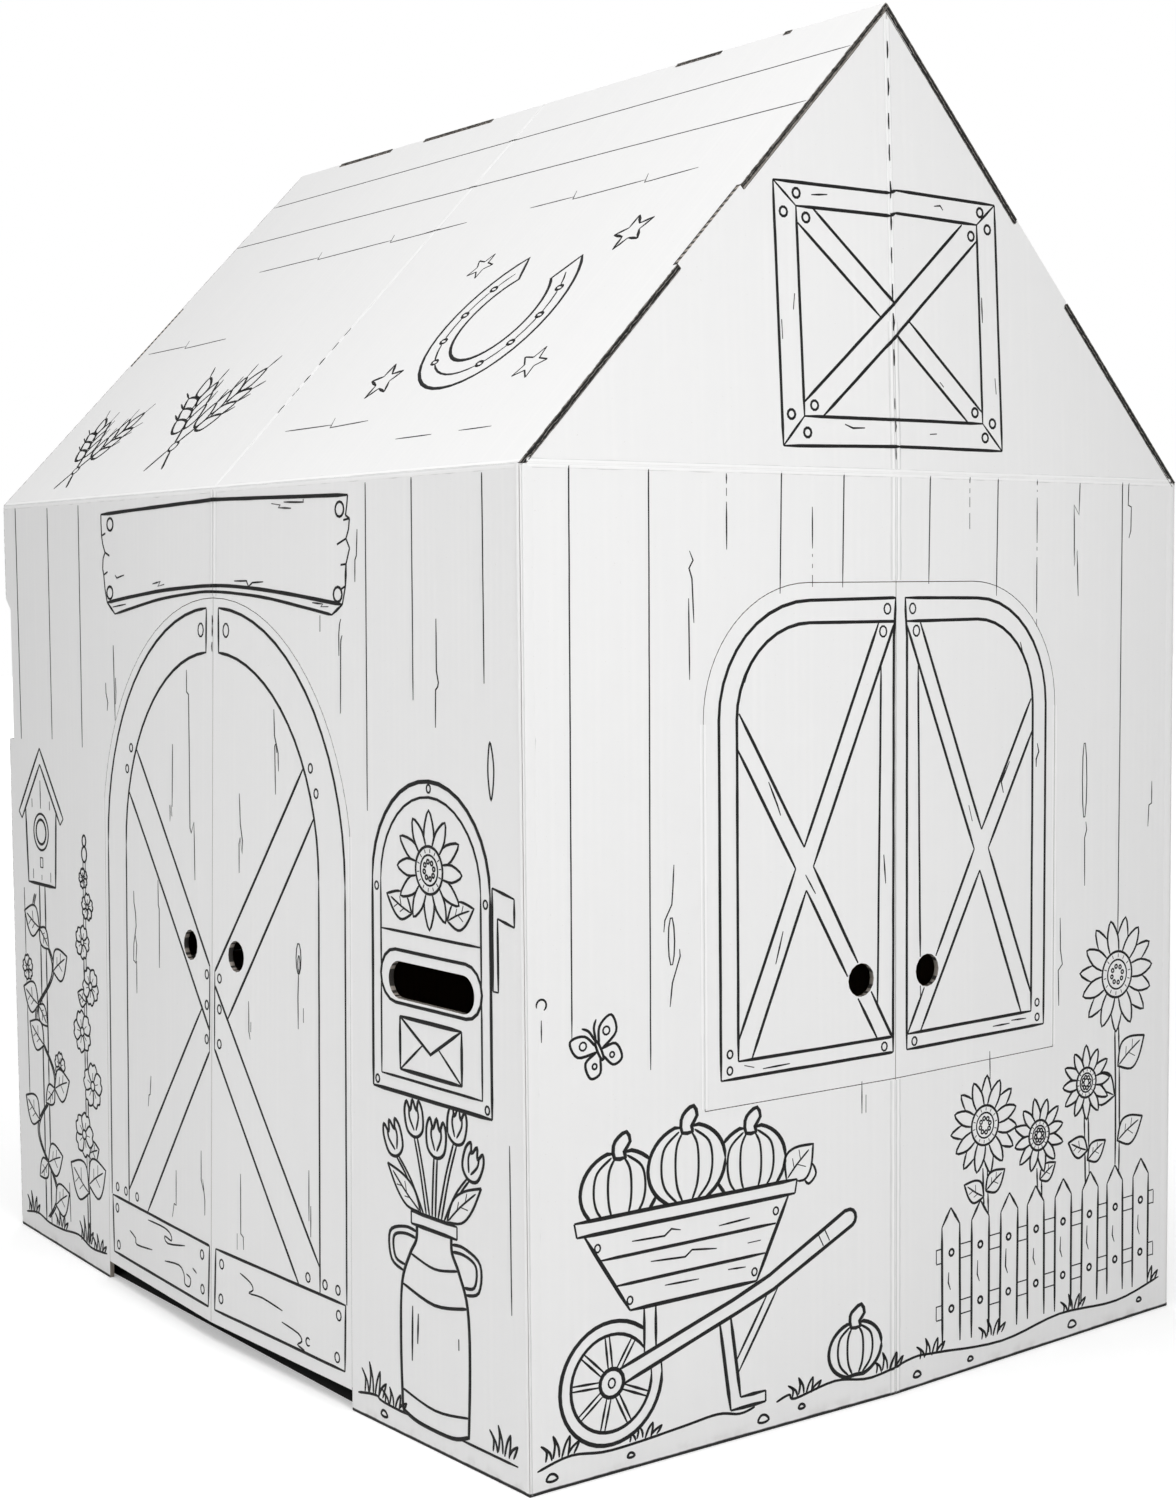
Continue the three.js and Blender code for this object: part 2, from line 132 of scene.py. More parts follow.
# Every sheet of the print: the body that it moves with, and how it folds
sheets = {
    "door_wall": ("house", long_wall(-1)),
    "door_left": ("door_left", long_wall(-1)),
    "door_right": ("door_right", long_wall(-1)),
    "back_wall": ("house", long_wall(1)),
    "door_roof": ("door_roof", roof(-1)),
    "back_roof": ("back_roof", roof(1)),
}
for end, side in (("near", -1), ("far", 1)):
    sheets[f"{end}_gable"] = ("house", gable(side))
    for hand in ("left", "right"):
        sheets[f"{end}_shutter_{hand}"] = (f"{end}_shutter_{hand}", gable(side))
print("sheets:", ", ".join(sheets))


# %% [markdown]
# ## Short names for node trees
#
# Both shaders and geometry trees are made of nodes and links. These helpers add a node, set
# its sockets and link them in one call, so that a tree reads from top to bottom like a recipe.


# %% Node helpers
def plug(tree, node, sockets):
    """Sets sockets of a node. A value is either a number or an output to link from."""
    for key, value in sockets.items():
        if isinstance(value, bpy.types.NodeSocket):
            tree.links.new(value, node.inputs[key])
        else:
            node.inputs[key].default_value = value


def add(tree, kind, sockets=None, **settings):
    """Adds a node with its settings and sockets."""
    node = tree.nodes.new(kind)
    for name, value in settings.items():
        setattr(node, name, value)
    plug(tree, node, sockets or {})
    return node


def maths(tree, operation, *values, clamp=False):
    """One step of arithmetic; returns its output."""
    return add(tree, "ShaderNodeMath", dict(enumerate(values)), operation=operation,
               use_clamp=clamp).outputs[0]


def weighted(tree, start, *parts):
    """A start with outputs added to it, each of them times its weight."""
    for value, weight in parts:
        start = maths(tree, "MULTIPLY_ADD", value, weight, start)
    return start


def noise(tree, where, scale, detail=2.0, roughness=0.5):
    """Soft noise around 0.5 at a scale per metre; returns its output."""
    sockets = {"Vector": where, "Scale": scale, "Detail": detail, "Roughness": roughness}
    return add(tree, "ShaderNodeTexNoise", sockets).outputs[0]


def around_zero(tree, where, scale, *grain):
    """The same noise, moved to lie around zero."""
    return maths(tree, "SUBTRACT", noise(tree, where, scale, *grain), 0.5)


def vectors(tree, operation, first, second, result=0):
    """One step of arithmetic on vectors; returns its output."""
    return add(tree, "ShaderNodeVectorMath", {0: first, 1: second},
               operation=operation).outputs[result]


def dot(tree, vector, direction):
    """How far a vector points along a direction; returns its output."""
    return vectors(tree, "DOT_PRODUCT", vector, direction, "Value")


def between(tree, value, low, high, start=0.0, end=1.0):
    """Maps low to high smoothly onto start to end."""
    sockets = {"Value": value, "From Min": low, "From Max": high, "To Min": start, "To Max": end}
    return add(tree, "ShaderNodeMapRange", sockets, interpolation_type="SMOOTHSTEP").outputs[0]


def blend(tree, share, first, second):
    """Mixes two colours; returns the mixed colour."""
    return add(tree, "ShaderNodeMix", {0: share, 6: first, 7: second},
               data_type="RGBA").outputs[2]


def tone(level, warmth=0.0):
    """A grey, or a slightly warm grey, as a colour."""
    return (level * (1 + warmth), level, level * (1 - warmth), 1)


def finish(name):
    """A new material; returns it, its tree, its shader, and the spot and normal to paint by."""
    material = bpy.data.materials.new(name)
    material.use_nodes = True
    tree = material.node_tree
    coordinates = add(tree, "ShaderNodeTexCoord").outputs
    return (material, tree, tree.nodes["Principled BSDF"], coordinates["Object"],
            coordinates["Normal"])


def grained(name, grain, limits, dark, light, sheen, rough, rough_play=0.0):
    """A plain finish of two tones, mixed by a grain of noise between two limits."""
    material, tree, shader, spot, _ = finish(name)
    share = noise(tree, spot, *grain)
    mixed = between(tree, share, *limits) if limits else share
    if rough_play:
        rough = weighted(tree, rough, (share, rough_play))
    plug(tree, shader, {"Base Color": blend(tree, mixed, dark, light), "Roughness": rough,
                        "Specular IOR Level": sheen})
    return material


# %% [markdown]
# ## The board's finish
#
# The outside of the board is white paper, glued over a wave of flutes. The flutes press
# through as faint upright bands about 7.5 mm apart, and the paper is a little mottled, with
# short fibres. The inside is plain brown paper, darker along the flutes. Where the board is
# cut, the open flutes show as small mouths between two paper edges, with painted shade in them.
# One recipe makes all three, because it can tell by the surface's direction whether it is
# outside, inside or a cut.

# %% The board's recipe
FLUTE = 7.5 * MM
WHITE = tone(0.81, 0.004)
KRAFT = (0.40, 0.265, 0.145, 1)
SHADED_KRAFT = tuple(colour * 0.72 for colour in KRAFT[:3]) + (1,)
KRAFT_FIBRE = tone(0.62, 0.30)
MOUTH_SHADE = tone(0.035, 0.10)
RAW_PAPER = tone(0.34, 0.12)
SPECK, SCUFF, SLOPE_SHADE, FOOT_SHADE = tone(0.45, 0.08), tone(0.42, 0.05), tone(0.30), tone(0.02)
FLUTE_SHADE, FOLD_HIGHLIGHT, BOARD_SHEEN = 0.035, 0.055, 0.28
UP, DOWN = (0, 0, 1), (0, 0, -1)

# How far a surface has to look outward (1) or inward (-1) to be paper of one kind
# The last two: the facings over which a fold's slopes are painted with shade
PRINTED, INSIDE, SLOPE, SLOPE_END = (0.80, 0.86), (-0.80, -0.86), (0.985, 0.945), (0.70, 0.84)

# Heights over the floor: where scuffs end, and the painted shadow at the very foot
SCUFF_HEIGHT, FOOT_LOW, FOOT_HIGH = 12 * MM, 1.2 * MM, 2.1 * MM

# Each noise: its scale per metre, its detail and its roughness
STREAKS, MOTTLE, CLOUD = (1.0, 3.0), (55.0, 4.0, 0.6), (4.0,)
FIBRE, SPECKS = (1400.0, 3.0, 0.65), (620.0, 1.0)


def board_finish(name, outward, across, along, fold_highlight=None):
    """Board whose printed face looks outward; across and along are its flutes' directions.
    The paper of a fold is white whichever way it looks, with painted shade on its slopes. For a
    fold, the last argument is a painted highlight: how much brighter it is than flat board."""
    material, tree, shader, spot, normal = finish(name)
    facing = dot(tree, normal, outward)
    flute_turn = maths(tree, "MULTIPLY", dot(tree, spot, across), 2 * math.pi / FLUTE)
    streaked = tuple(90 if abs(a) < 0.5 else 6 for a in along)
    streaks = noise(tree, vectors(tree, "MULTIPLY", spot, streaked), *STREAKS)
    mottle = noise(tree, spot, *MOTTLE)
    cloud = noise(tree, spot, *CLOUD)
    fibre = noise(tree, vectors(tree, "MULTIPLY", spot, (1.0, 1.0, 0.45)), *FIBRE)
    wash = maths(tree, "MULTIPLY", maths(tree, "SINE", flute_turn),
                 between(tree, streaks, 0.35, 0.75))

    # The printed paper: flutes, specks, scuffs near the floor and painted shadow at the very foot
    shade = weighted(tree, 0.0, (wash, 0.35), (streaks, 1.0), (mottle, 0.5), (cloud, 0.8))
    shade = maths(tree, "MULTIPLY", shade, 0.55, clamp=True)
    # A fold's paper is lifted by its painted highlight; flat board gets none
    bare = WHITE[1] + (fold_highlight or 0)
    white = blend(tree, shade, tone(bare - FLUTE_SHADE), tone(bare, 0.004))
    specks = between(tree, noise(tree, spot, *SPECKS), 0.76, 0.80, 0.0, 0.22)
    white = blend(tree, specks, white, SPECK)
    low = between(tree, dot(tree, spot, UP), SCUFF_HEIGHT, 0.0, 0.0, 0.35)
    scuffs = maths(tree, "MULTIPLY", low, between(tree, mottle, 0.45, 0.7))
    white = blend(tree, scuffs, white, SCUFF)
    depth = weighted(tree, dot(tree, spot, DOWN), (mottle, 1.2 * MM))
    white = blend(tree, between(tree, depth, -FOOT_HIGH, -FOOT_LOW), white, FOOT_SHADE)

    if fold_highlight is None:
        # Brown paper inside, and the open flutes of a cut, with painted shade in their mouths
        brown = blend(tree, weighted(tree, streaks, (wash, 0.22)), KRAFT, SHADED_KRAFT)
        brown = blend(tree, between(tree, fibre, 0.60, 0.75, 0.0, 0.3), brown, KRAFT_FIBRE)
        mouths = maths(tree, "SINE", maths(tree, "MULTIPLY", flute_turn, 2.0))
        mouths = maths(tree, "MULTIPLY", between(tree, mouths, -0.35, 0.35),
                       between(tree, streaks, 0.2, 0.6, 0.5, 1.0))
        raw = blend(tree, mouths, MOUTH_SHADE, RAW_PAPER)
        colour = blend(tree, between(tree, facing, *PRINTED), raw, white)
        colour = blend(tree, between(tree, facing, *INSIDE), colour, brown)
    else:
        # Painted shade: a fold's slopes are greyed by how far they turn from the board's face
        slope_shade = maths(tree, "MULTIPLY", between(tree, facing, *SLOPE, 0.0, 0.42),
                       between(tree, facing, *SLOPE_END))
        colour = blend(tree, slope_shade, white, SLOPE_SHADE)

    height = weighted(tree, 0.0, (wash, 0.045 * MM), (fibre, 0.02 * MM), (cloud, 0.9 * MM))
    bump = add(tree, "ShaderNodeBump", {"Height": height, "Distance": 1.0, "Strength": 0.9})
    plug(tree, shader, {"Base Color": colour, "Specular IOR Level": BOARD_SHEEN,
                        "Roughness": weighted(tree, 0.58, (mottle, 0.14)),
                        "Normal": bump.outputs[0]})
    return material


# The same recipe for each way that a board can face
roof_up = (run_share, 0, rise_share)
facings = {
    "door_wall": ((-1, 0, 0), (0, 1, 0), UP),
    "back_wall": ((1, 0, 0), (0, 1, 0), UP),
    "near_gable": ((0, -1, 0), (1, 0, 0), UP),
    "far_gable": ((0, 1, 0), (1, 0, 0), UP),
    "door_roof": ((-rise_share, 0, run_share), (0, 1, 0), roof_up),
    "back_roof": ((rise_share, 0, run_share), (0, 1, 0), (-run_share, 0, rise_share)),
}
board_finishes = {name: board_finish(f"board_{name}", *facing)
                  for name, facing in facings.items()}
# Fold paper: painted highlight, and painted shade on the slopes; the corners get no highlight
fold_finishes = {name: board_finish(f"fold_{name}", *facing, fold_highlight=FOLD_HIGHLIGHT)
                 for name, facing in facings.items()}
corner_finishes = {name: board_finish(f"corner_{name}", *facings[name], fold_highlight=0.0)
                   for name in ("near_gable", "far_gable")}
print("finishes:", len(board_finishes), len(fold_finishes), len(corner_finishes))


# %% [markdown]
# Each board takes the finish of the way its printed face looks. A flange or a tab is folded,
# so its printed face looks another way than its neighbour's: the gables' flanges lie under the
# roof, and a ridge tab lies under the other roof panel.

# %% Dressing the boards
def finish_for(node_name):
    """The name of the finish whose outward direction a board's printed face has."""
    door_side = "left" in node_name if "near" in node_name else "right" in node_name
    if "flange" in node_name:
        return "door_roof" if door_side else "back_roof"
    if "ridge_tab" in node_name:
        return "back_roof" if node_name.startswith("door") else "door_roof"
    if "side_tab" in node_name:
        near = ("right" in node_name) == node_name.startswith("door")
        return "near_gable" if near else "far_gable"
    if "_roof_" in node_name:
        return node_name[:9]
    if node_name.startswith(("door", "seam")):
        return "door_wall"
    if node_name.startswith("back"):
        return "back_wall"
    return "near_gable" if node_name.startswith("near") else "far_gable"


for node_name, node_object in nodes.items():
    for slot in node_object.material_slots:
        slot.material = board_finishes[finish_for(node_name)]
print("dressed", len(nodes), "boards")

# %% [markdown]
# ## Ink
#
# The print is one dense black. A drawn line is never quite even, so the geometry below varies
# its width, and the finish only breaks up its sheen.

# %% The ink's finish
ink = grained("printing_ink", (900.0,), (0.55, 0.85), tone(0.008), tone(0.03), sheen=0.25,
              rough=0.5, rough_play=0.2)
print("finish:", ink.name)


# %% [markdown]
# ## Drawing lines with Geometry Nodes
#
# Each stroke is a chain of points on the flat sheet, with the width of the pen stored on every
# point. The tree turns the chains into curves, shakes them a little as a hand would, and
# sweeps a thin flat strip along them. The strip narrows at both ends of an open stroke. The
# result is a real mesh about a tenth of a millimetre proud, so the lines are part of the
# model's geometry and need no picture.

# %% Helpers for geometry trees
def geometry_tree(name, kinds, **numbers):
    """A new tree with inputs of other kinds and with number inputs; returns it and its inputs."""
    tree = bpy.data.node_groups.new(name, "GeometryNodeTree")
    for label, kind in (("Geometry", "Geometry"), *kinds.items()):
        tree.interface.new_socket(label, in_out="INPUT", socket_type=f"NodeSocket{kind}")
    for label, value in numbers.items():
        socket = tree.interface.new_socket(label, in_out="INPUT", socket_type="NodeSocketFloat")
        socket.default_value = value
    tree.interface.new_socket("Geometry", in_out="OUTPUT", socket_type="NodeSocketGeometry")
    return tree, tree.nodes.new("NodeGroupInput").outputs


def finished(tree, geometry, material):
    """Ends a geometry tree with real instances and a material."""
    real = add(tree, "GeometryNodeRealizeInstances", {0: geometry}).outputs[0]
    painted = add(tree, "GeometryNodeSetMaterial", {"Geometry": real, "Material": material})
    add(tree, "NodeGroupOutput", {0: painted.outputs[0]})


def offset(tree, x=0.0, y=0.0, z=0.0):
    """A vector made of three numbers or outputs."""
    return add(tree, "ShaderNodeCombineXYZ", {0: x, 1: y, 2: z}).outputs[0]


def seeded_spot(tree, seed):
    """Every point's position, moved by a seed so that each run gets noise of its own."""
    spot = add(tree, "GeometryNodeInputPosition").outputs[0]
    return vectors(tree, "ADD", spot, offset(tree, z=seed))


def wobble(tree, where, scale, detail, reach, size):
    """Noise that points any way, stretched by its reach along each axis and then sized."""
    lumps = add(tree, "ShaderNodeTexNoise", {"Vector": where, "Scale": scale, "Detail": detail})
    lumps = vectors(tree, "SUBTRACT", lumps.outputs[1], (0.5, 0.5, 0.5))
    lumps = vectors(tree, "MULTIPLY", lumps, reach)
    return add(tree, "ShaderNodeVectorMath", {0: lumps, "Scale": size},
               operation="SCALE").outputs[0]


def upright(tree, path):
    """The same curve with its normals up, so that what is swept along it doesn't twist."""
    return add(tree, "GeometryNodeSetCurveNormal", {"Curve": path}, mode="Z_UP").outputs[0]


def rectangle(tree, width, height):
    """A rectangle to sweep along a curve."""
    return add(tree, "GeometryNodeCurvePrimitiveQuadrilateral",
               {"Width": width, "Height": height}, mode="RECTANGLE").outputs[0]


def sweep(tree, path, profile, **sockets):
    """A profile swept along a curve, closed at its ends."""
    return add(tree, "GeometryNodeCurveToMesh", {"Curve": path, "Profile Curve": profile,
                                                 "Fill Caps": True, **sockets}).outputs[0]


def moved(tree, geometry, by):
    """Geometry with each of its points moved by a vector."""
    return add(tree, "GeometryNodeSetPosition", {"Geometry": geometry, "Offset": by}).outputs[0]


# %% The pen's geometry tree
pen, given = geometry_tree("pen_line", {"Ink": "Material"}, Shake=0.22 * MM, Shakes=28.0,
                           Play=0.35, Taper=2.5 * MM, Height=0.09, Seed=3.0)
seeded = seeded_spot(pen, given["Seed"])
shake = wobble(pen, seeded, given["Shakes"], 1.0, (2.0, 2.0, 0.0), given["Shake"])
chains = add(pen, "GeometryNodeMeshToCurve", {0: given["Geometry"]}).outputs[0]
nib = add(pen, "GeometryNodeInputNamedAttribute", {"Name": "nib"}, data_type="FLOAT").outputs[0]
along = add(pen, "GeometryNodeSplineParameter").outputs["Length"]
whole = add(pen, "GeometryNodeSplineLength").outputs["Length"]
from_end = maths(pen, "MINIMUM", along, maths(pen, "SUBTRACT", whole, along))
taper = maths(pen, "DIVIDE", from_end, given["Taper"], clamp=True)
taper = maths(pen, "MULTIPLY_ADD", taper, 0.5, 0.5)
taper = maths(pen, "MAXIMUM", taper, add(pen, "GeometryNodeInputSplineCyclic").outputs[0])
play = weighted(pen, 1.0, (around_zero(pen, seeded, 45.0, 1.0), given["Play"]))
width = maths(pen, "MULTIPLY", maths(pen, "MULTIPLY", nib, play), taper)
strokes = sweep(pen, upright(pen, moved(pen, chains, shake)),
                rectangle(pen, 1.0, given["Height"]), Scale=width)
finished(pen, strokes, given["Ink"])
print("nodes of the pen:", len(pen.nodes))


# %% Running a tree and folding its result
def plain_mesh(name, points, edges=(), faces=()):
    """A mesh of points in metres."""
    mesh = bpy.data.meshes.new(name)
    mesh.from_pydata(points, edges, faces)
    return mesh


def linked(name, data):
    """A new object that belongs to the scene."""
    thing = bpy.data.objects.new(name, data)
    bpy.context.scene.collection.objects.link(thing)
    return thing


def grow(tree, flat, **settings):
    """Runs a geometry tree on a flat object and returns the plain mesh that it makes."""
    modifier = flat.modifiers.new(tree.name, "NODES")
    modifier.node_group = tree
    for item in tree.interface.items_tree:
        if item.in_out == "INPUT" and item.name in settings:
            modifier[item.identifier] = settings[item.name]
    depsgraph = bpy.context.evaluated_depsgraph_get()
    mesh = bpy.data.meshes.new_from_object(flat.evaluated_get(depsgraph))
    bpy.data.objects.remove(flat)
    return mesh


def folded(mesh, place, height=None):
    """Moves a flat mesh onto its wall. A height function may lift it off the paper first."""
    flat = np.zeros(len(mesh.vertices) * 3, np.float32)
    mesh.vertices.foreach_get("co", flat)
    u, v, h = flat.reshape(-1, 3).astype(float).T
    if height:
        h = height(u, v, h)
    mesh.vertices.foreach_set("co", place(u, v, h).astype(np.float32).ravel())
    return mesh


def flat_chains(name, chains_of_points):
    """A flat object of point chains. Each chain is (points in mm, pen width in mm, closed)."""
    points, edges, widths = [], [], []
    for chain, chain_width, closed in chains_of_points:
        first = len(points)
        points += [(u * MM, v * MM, 0) for u, v in chain]
        widths += [chain_width * MM] * len(chain)
        edges += [(i, i + 1) for i in range(first, len(points) - 1)]
        if closed:
            edges.append((len(points) - 1, first))
    mesh = plain_mesh(name, points, edges)
    mesh.attributes.new("nib", "FLOAT", "POINT").data.foreach_set("value", widths)
    return linked(name, mesh)


made = {}


def keep(family, body, mesh, material, slot):
    """Collects meshes of one family and one finish that ride on one body."""
    made.setdefault((family, body), (material, slot, []))[2].append(mesh)


def joined(name, meshes, material):
    """One object made of several meshes."""
    whole_mesh = bmesh.new()
    for mesh in meshes:
        whole_mesh.from_mesh(mesh)
        bpy.data.meshes.remove(mesh)
    mesh = bpy.data.meshes.new(name)
    whole_mesh.to_mesh(mesh)
    whole_mesh.free()
    mesh.materials.clear()
    mesh.materials.append(material)
    return linked(name, mesh)


print("tools for running trees ready")

# %% [markdown]
# ## A few shapes to draw with
#
# Everything on the print is built from straight lines, arcs and smooth curves through chosen
# points. Long lines are cut into short steps, and every line gets close points where it
# crosses a fold, so that it bends there with the board and climbs over the beads. Whatever is
# marked as being in front hides the strokes that are drawn after it.

# %% Lines, arcs and curves
STEP = 14
FOLD_STEPS = (-6.5, -5, -3.6, -2.3, -1.1, -0.4, 0, 0.4, 1.1, 2.3, 3.6, 5, 6.5)
EAVES, TOP = eaves / MM, slope_length / MM
HEAVY, BOLD, MEDIUM, FINE, HAIR = 3.0, 2.45, 2.0, 1.45, 1.15
print_chains = {}


def stepped(points, closed=False):
    """Adds points so that no step is long, and close ones where a line climbs over a fold."""
    ends = list(points[1:]) + ([points[0]] if closed else [])
    result = [tuple(points[0])]
    for (u0, v0), (u1, v1) in zip(points, ends):
        count = max(1, math.ceil(math.hypot(u1 - u0, v1 - v0) / STEP))
        stops = {i / count for i in range(1, count + 1)}
        for start, end, fold_at in ((u0, u1, 0), (v0, v1, EAVES)):
            for away in FOLD_STEPS:
                if min(start, end) < fold_at + away < max(start, end):
                    stops.add((fold_at + away - start) / (end - start))
        result += [(u0 + (u1 - u0) * t, v0 + (v1 - v0) * t) for t in sorted(stops)]
    return result[:-1] if closed else result


# Shapes that later strokes run behind, sheet by sheet
fronts = {}


def in_front(sheet, outline):
    """Marks an outline as being in front of everything that is drawn later."""
    us, vs = zip(*outline)
    fronts.setdefault(sheet, []).append((min(us), max(us), min(vs), max(vs), outline))


def inside(u, v, outline):
    """Whether a spot lies inside an outline."""
    found = False
    for (u0, v0), (u1, v1) in zip(outline, outline[1:] + outline[:1]):
        if (v0 > v) != (v1 > v) and u < u0 + (u1 - u0) * (v - v0) / (v1 - v0):
            found = not found
    return found


def left_over(sheet, points):
    """The runs of a stroke that nothing on the sheet hides."""
    us, vs = zip(*points)
    near = [front[4] for front in fronts.get(sheet, ())
            if front[0] < max(us) and front[1] > min(us)
            and front[2] < max(vs) and front[3] > min(vs)]
    if not near:
        return [points]
    runs, run = [], []
    for start, end in zip(points, points[1:]):
        count = max(1, math.ceil(math.dist(start, end)))
        for i in range(count + 1):
            t = i / count
            u, v = start[0] + (end[0] - start[0]) * t, start[1] + (end[1] - start[1]) * t
            if any(inside(u, v, outline) for outline in near):
                runs.append(run)
                run = []
            elif not run or (u, v) != run[-1][0]:
                run.append(((u, v), i in (0, count)))
    runs.append(run)
    return [[spot for i, (spot, corner) in enumerate(run) if corner or i in (0, len(run) - 1)]
            for run in runs if len(run) > 2]


def draw_over(sheet, points, nib_width=BOLD, closed=False):
    """One stroke of the pen through these points, whatever is in front of it."""
    chain = stepped(points, closed)
    print_chains.setdefault(sheet, []).append((chain, nib_width, closed))


def draw(sheet, points, nib_width=BOLD, closed=False):
    """One stroke of the pen, cut short where it would run behind something."""
    whole = list(points) + ([points[0]] if closed else [])
    runs = left_over(sheet, whole)
    if runs == [whole]:
        draw_over(sheet, points, nib_width, closed)
    else:
        for run in runs:
            draw_over(sheet, run, nib_width)


def lines(sheet, points, nib_width=BOLD, closed=False):
    """Straight strokes with crisp corners."""
    ends = list(points[1:]) + ([points[0]] if closed else [])
    each(sheet, nib_width, *([start, end] for start, end in zip(points, ends)))


def each(sheet, nib_width, *strokes):
    """Several strokes of the same pen, each of them open."""
    for points in strokes:
        draw(sheet, points, nib_width)


def shape(sheet, points, nib_width=HEAVY):
    """A closed outline that hides what is drawn after it."""
    draw(sheet, points, nib_width, closed=True)
    in_front(sheet, points)


def panel(sheet, points, nib_width=HEAVY, closed=True):
    """A thing with crisp corners that hides what is drawn after it."""
    lines(sheet, points, nib_width, closed)
    in_front(sheet, points)


def arc(u, v, radius, start, end, tall=None, steps=None):
    """Points of an arc between two angles in degrees; tall is its other radius."""
    tall = radius if tall is None else tall
    count = steps or max(6, int(abs(end - start) / 9))
    turns = [math.radians(start + (end - start) * i / count) for i in range(count + 1)]
    return [(u + radius * math.cos(t), v + tall * math.sin(t)) for t in turns]


def oval(u, v, radius, tall=None):
    """Points of a closed circle or oval."""
    return arc(u, v, radius, 0, 360, tall, steps=max(10, int(radius * 2)))[:-1]


def curve(*points, closed=False, per_span=5):
    """Points of a smooth curve through the given points."""
    count = len(points)
    spans = count if closed else count - 1
    result = []
    for i in range(spans):
        if closed:
            a, b, c, d = (points[(i + k) % count] for k in (-1, 0, 1, 2))
        else:
            a, b, c, d = (points[min(max(i + k, 0), count - 1)] for k in (-1, 0, 1, 2))
        for step in range(per_span):
            t = step / per_span
            result.append(tuple(
                0.5 * (2 * q + (r - p) * t + (2 * p - 5 * q + 4 * r - s) * t * t
                       + (3 * q - p - 3 * r + s) * t ** 3)
                for p, q, r, s in zip(a, b, c, d)))
    return result if closed else result + [tuple(points[-1])]


def flip(points):
    """The same points mirrored about the middle fold."""
    return [(-u, v) for u, v in points]


def nails(sheet, radius, *spots):
    """Nail heads of one size."""
    for u, v in spots:
        draw(sheet, oval(u, v, radius * 0.85, radius), FINE, closed=True)


print("drawing tools ready")

# %% [markdown]
# ## Folds
#
# A fold in corrugated board is never a sharp line. The crease wheel presses the flutes flat
# and the paper beside it swells, so a fold in a flat wall reads as two soft beads with a dip
# between them, and an outer corner is rounded and stands a little proud of both walls. A tree
# sweeps the section of such a fold along its line and roughens it, as the paper crumples.

# %% The fold's geometry tree
crease, given = geometry_tree("crease", {"Section": "Object", "Paper": "Material"},
                              Crumple=0.16 * MM, Step=5 * MM, Seed=1.0)
path = add(crease, "GeometryNodeMeshToCurve", {0: given["Geometry"]}).outputs[0]
path = add(crease, "GeometryNodeResampleCurve", {"Curve": path, "Length": given["Step"]},
           mode="LENGTH").outputs[0]
section = add(crease, "GeometryNodeObjectInfo", {"Object": given["Section"]})
section = add(crease, "GeometryNodeMeshToCurve", {0: section.outputs["Geometry"]}).outputs[0]
seeded = seeded_spot(crease, given["Seed"])
lumps = wobble(crease, seeded, 70.0, 3.0, (2.0, 0.0, 3.0), given["Crumple"])
bead = sweep(crease, upright(crease, path), section)
finished(crease, moved(crease, bead, lumps), given["Paper"])
print("nodes of the crease:", len(crease.nodes))


# %% [markdown]
# A section is a line over the paper, closed under it. A fold inside one body has a whole one:
# two high beads, or two low ones where it is slight. Where a leaf or a roof panel turns on the
# fold, each side gets its own half, so that it travels with its board, and the halves of a
# leaf are low enough to lie against each other when it is folded right back. The section of an
# outer corner goes round it.

# %% The sections
# The height at which a section is closed, in mm over the paper
UNDER = -0.6


def section_outline(name, top, under=()):
    """The section of a fold: its upper line in mm from left to right, closed under the paper."""
    points = top + (under or [(top[-1][0], UNDER), (top[0][0], UNDER)])
    count = len(points)
    return linked(name, plain_mesh(name, [(a * MM, -h * MM, 0) for a, h in points],
                                   [(i, (i + 1) % count) for i in range(count)]))


def mirrored(points):
    """Points of a section seen from the other side."""
    return [(-a, h) for a, h in reversed(points)]


def both_sides(half):
    """A whole section from its right half, which starts in the dip."""
    return mirrored(half[1:]) + half


whole_fold = both_sides([(0, -0.04), (0.4, 0.1), (1.1, 0.5), (2.3, 0.75), (3.6, 0.55), (5, 0.1),
                         (6.5, -0.3)])
slight_fold = both_sides([(0, -0.05), (0.5, 0.1), (1.3, 0.34), (2.6, 0.1), (4, -0.25)])
eaves_half = [(0.15, 0), (0.8, 0.1), (1.7, 0.15), (3, 0.06), (4.5, -0.2)]
hinge_half = [(0.3, -0.02), (0.9, 0.03), (1.8, 0.07), (2.6, 0.03), (3.4, -0.04)]
CORNER_ROUND, CORNER_PROUD = 3.4, 0.4
corner_turn = [(CORNER_ROUND - CORNER_PROUD - CORNER_ROUND * math.sin(math.radians(t)),
                CORNER_PROUD - CORNER_ROUND + CORNER_ROUND * math.cos(math.radians(t)))
               for t in range(0, 91, 15)]
corner_slope = [(13, -0.3), (9.5, 0.05), (6, 0.24)]
corner_top = [(0.15, -6.5), (-0.04, -5), (-0.3, -4)] + corner_turn[::-1] + corner_slope[::-1]
corner_under = [(13, -0.9), (0.9, -0.9), (0.9, -6.5)]

sections = {"whole": section_outline("whole", whole_fold),
            "slight": section_outline("slight", slight_fold)}
for name, right_side, under in (("eaves", eaves_half, []), ("hinge", hinge_half, []),
                                ("corner", mirrored(corner_top), mirrored(corner_under))):
    sections[f"{name}_right"] = section_outline(f"{name}_right", right_side, under)
    sections[f"{name}_left"] = section_outline(f"{name}_left", mirrored(right_side),
                                               mirrored(under))
print("sections:", ", ".join(sections))


# %% [markdown]
# ## Where the board folds
#
# Travelling up or to the right along a fold, the section's right side is on the right or
# below. Every wall has a fold down its middle, the gables fold again at the eaves, and the
# roof panels and the leaves turn on theirs. Three corners are folds too. The fourth, between
# the door wall and the far gable, is the glued seam, where the door wall ends in a cut edge.

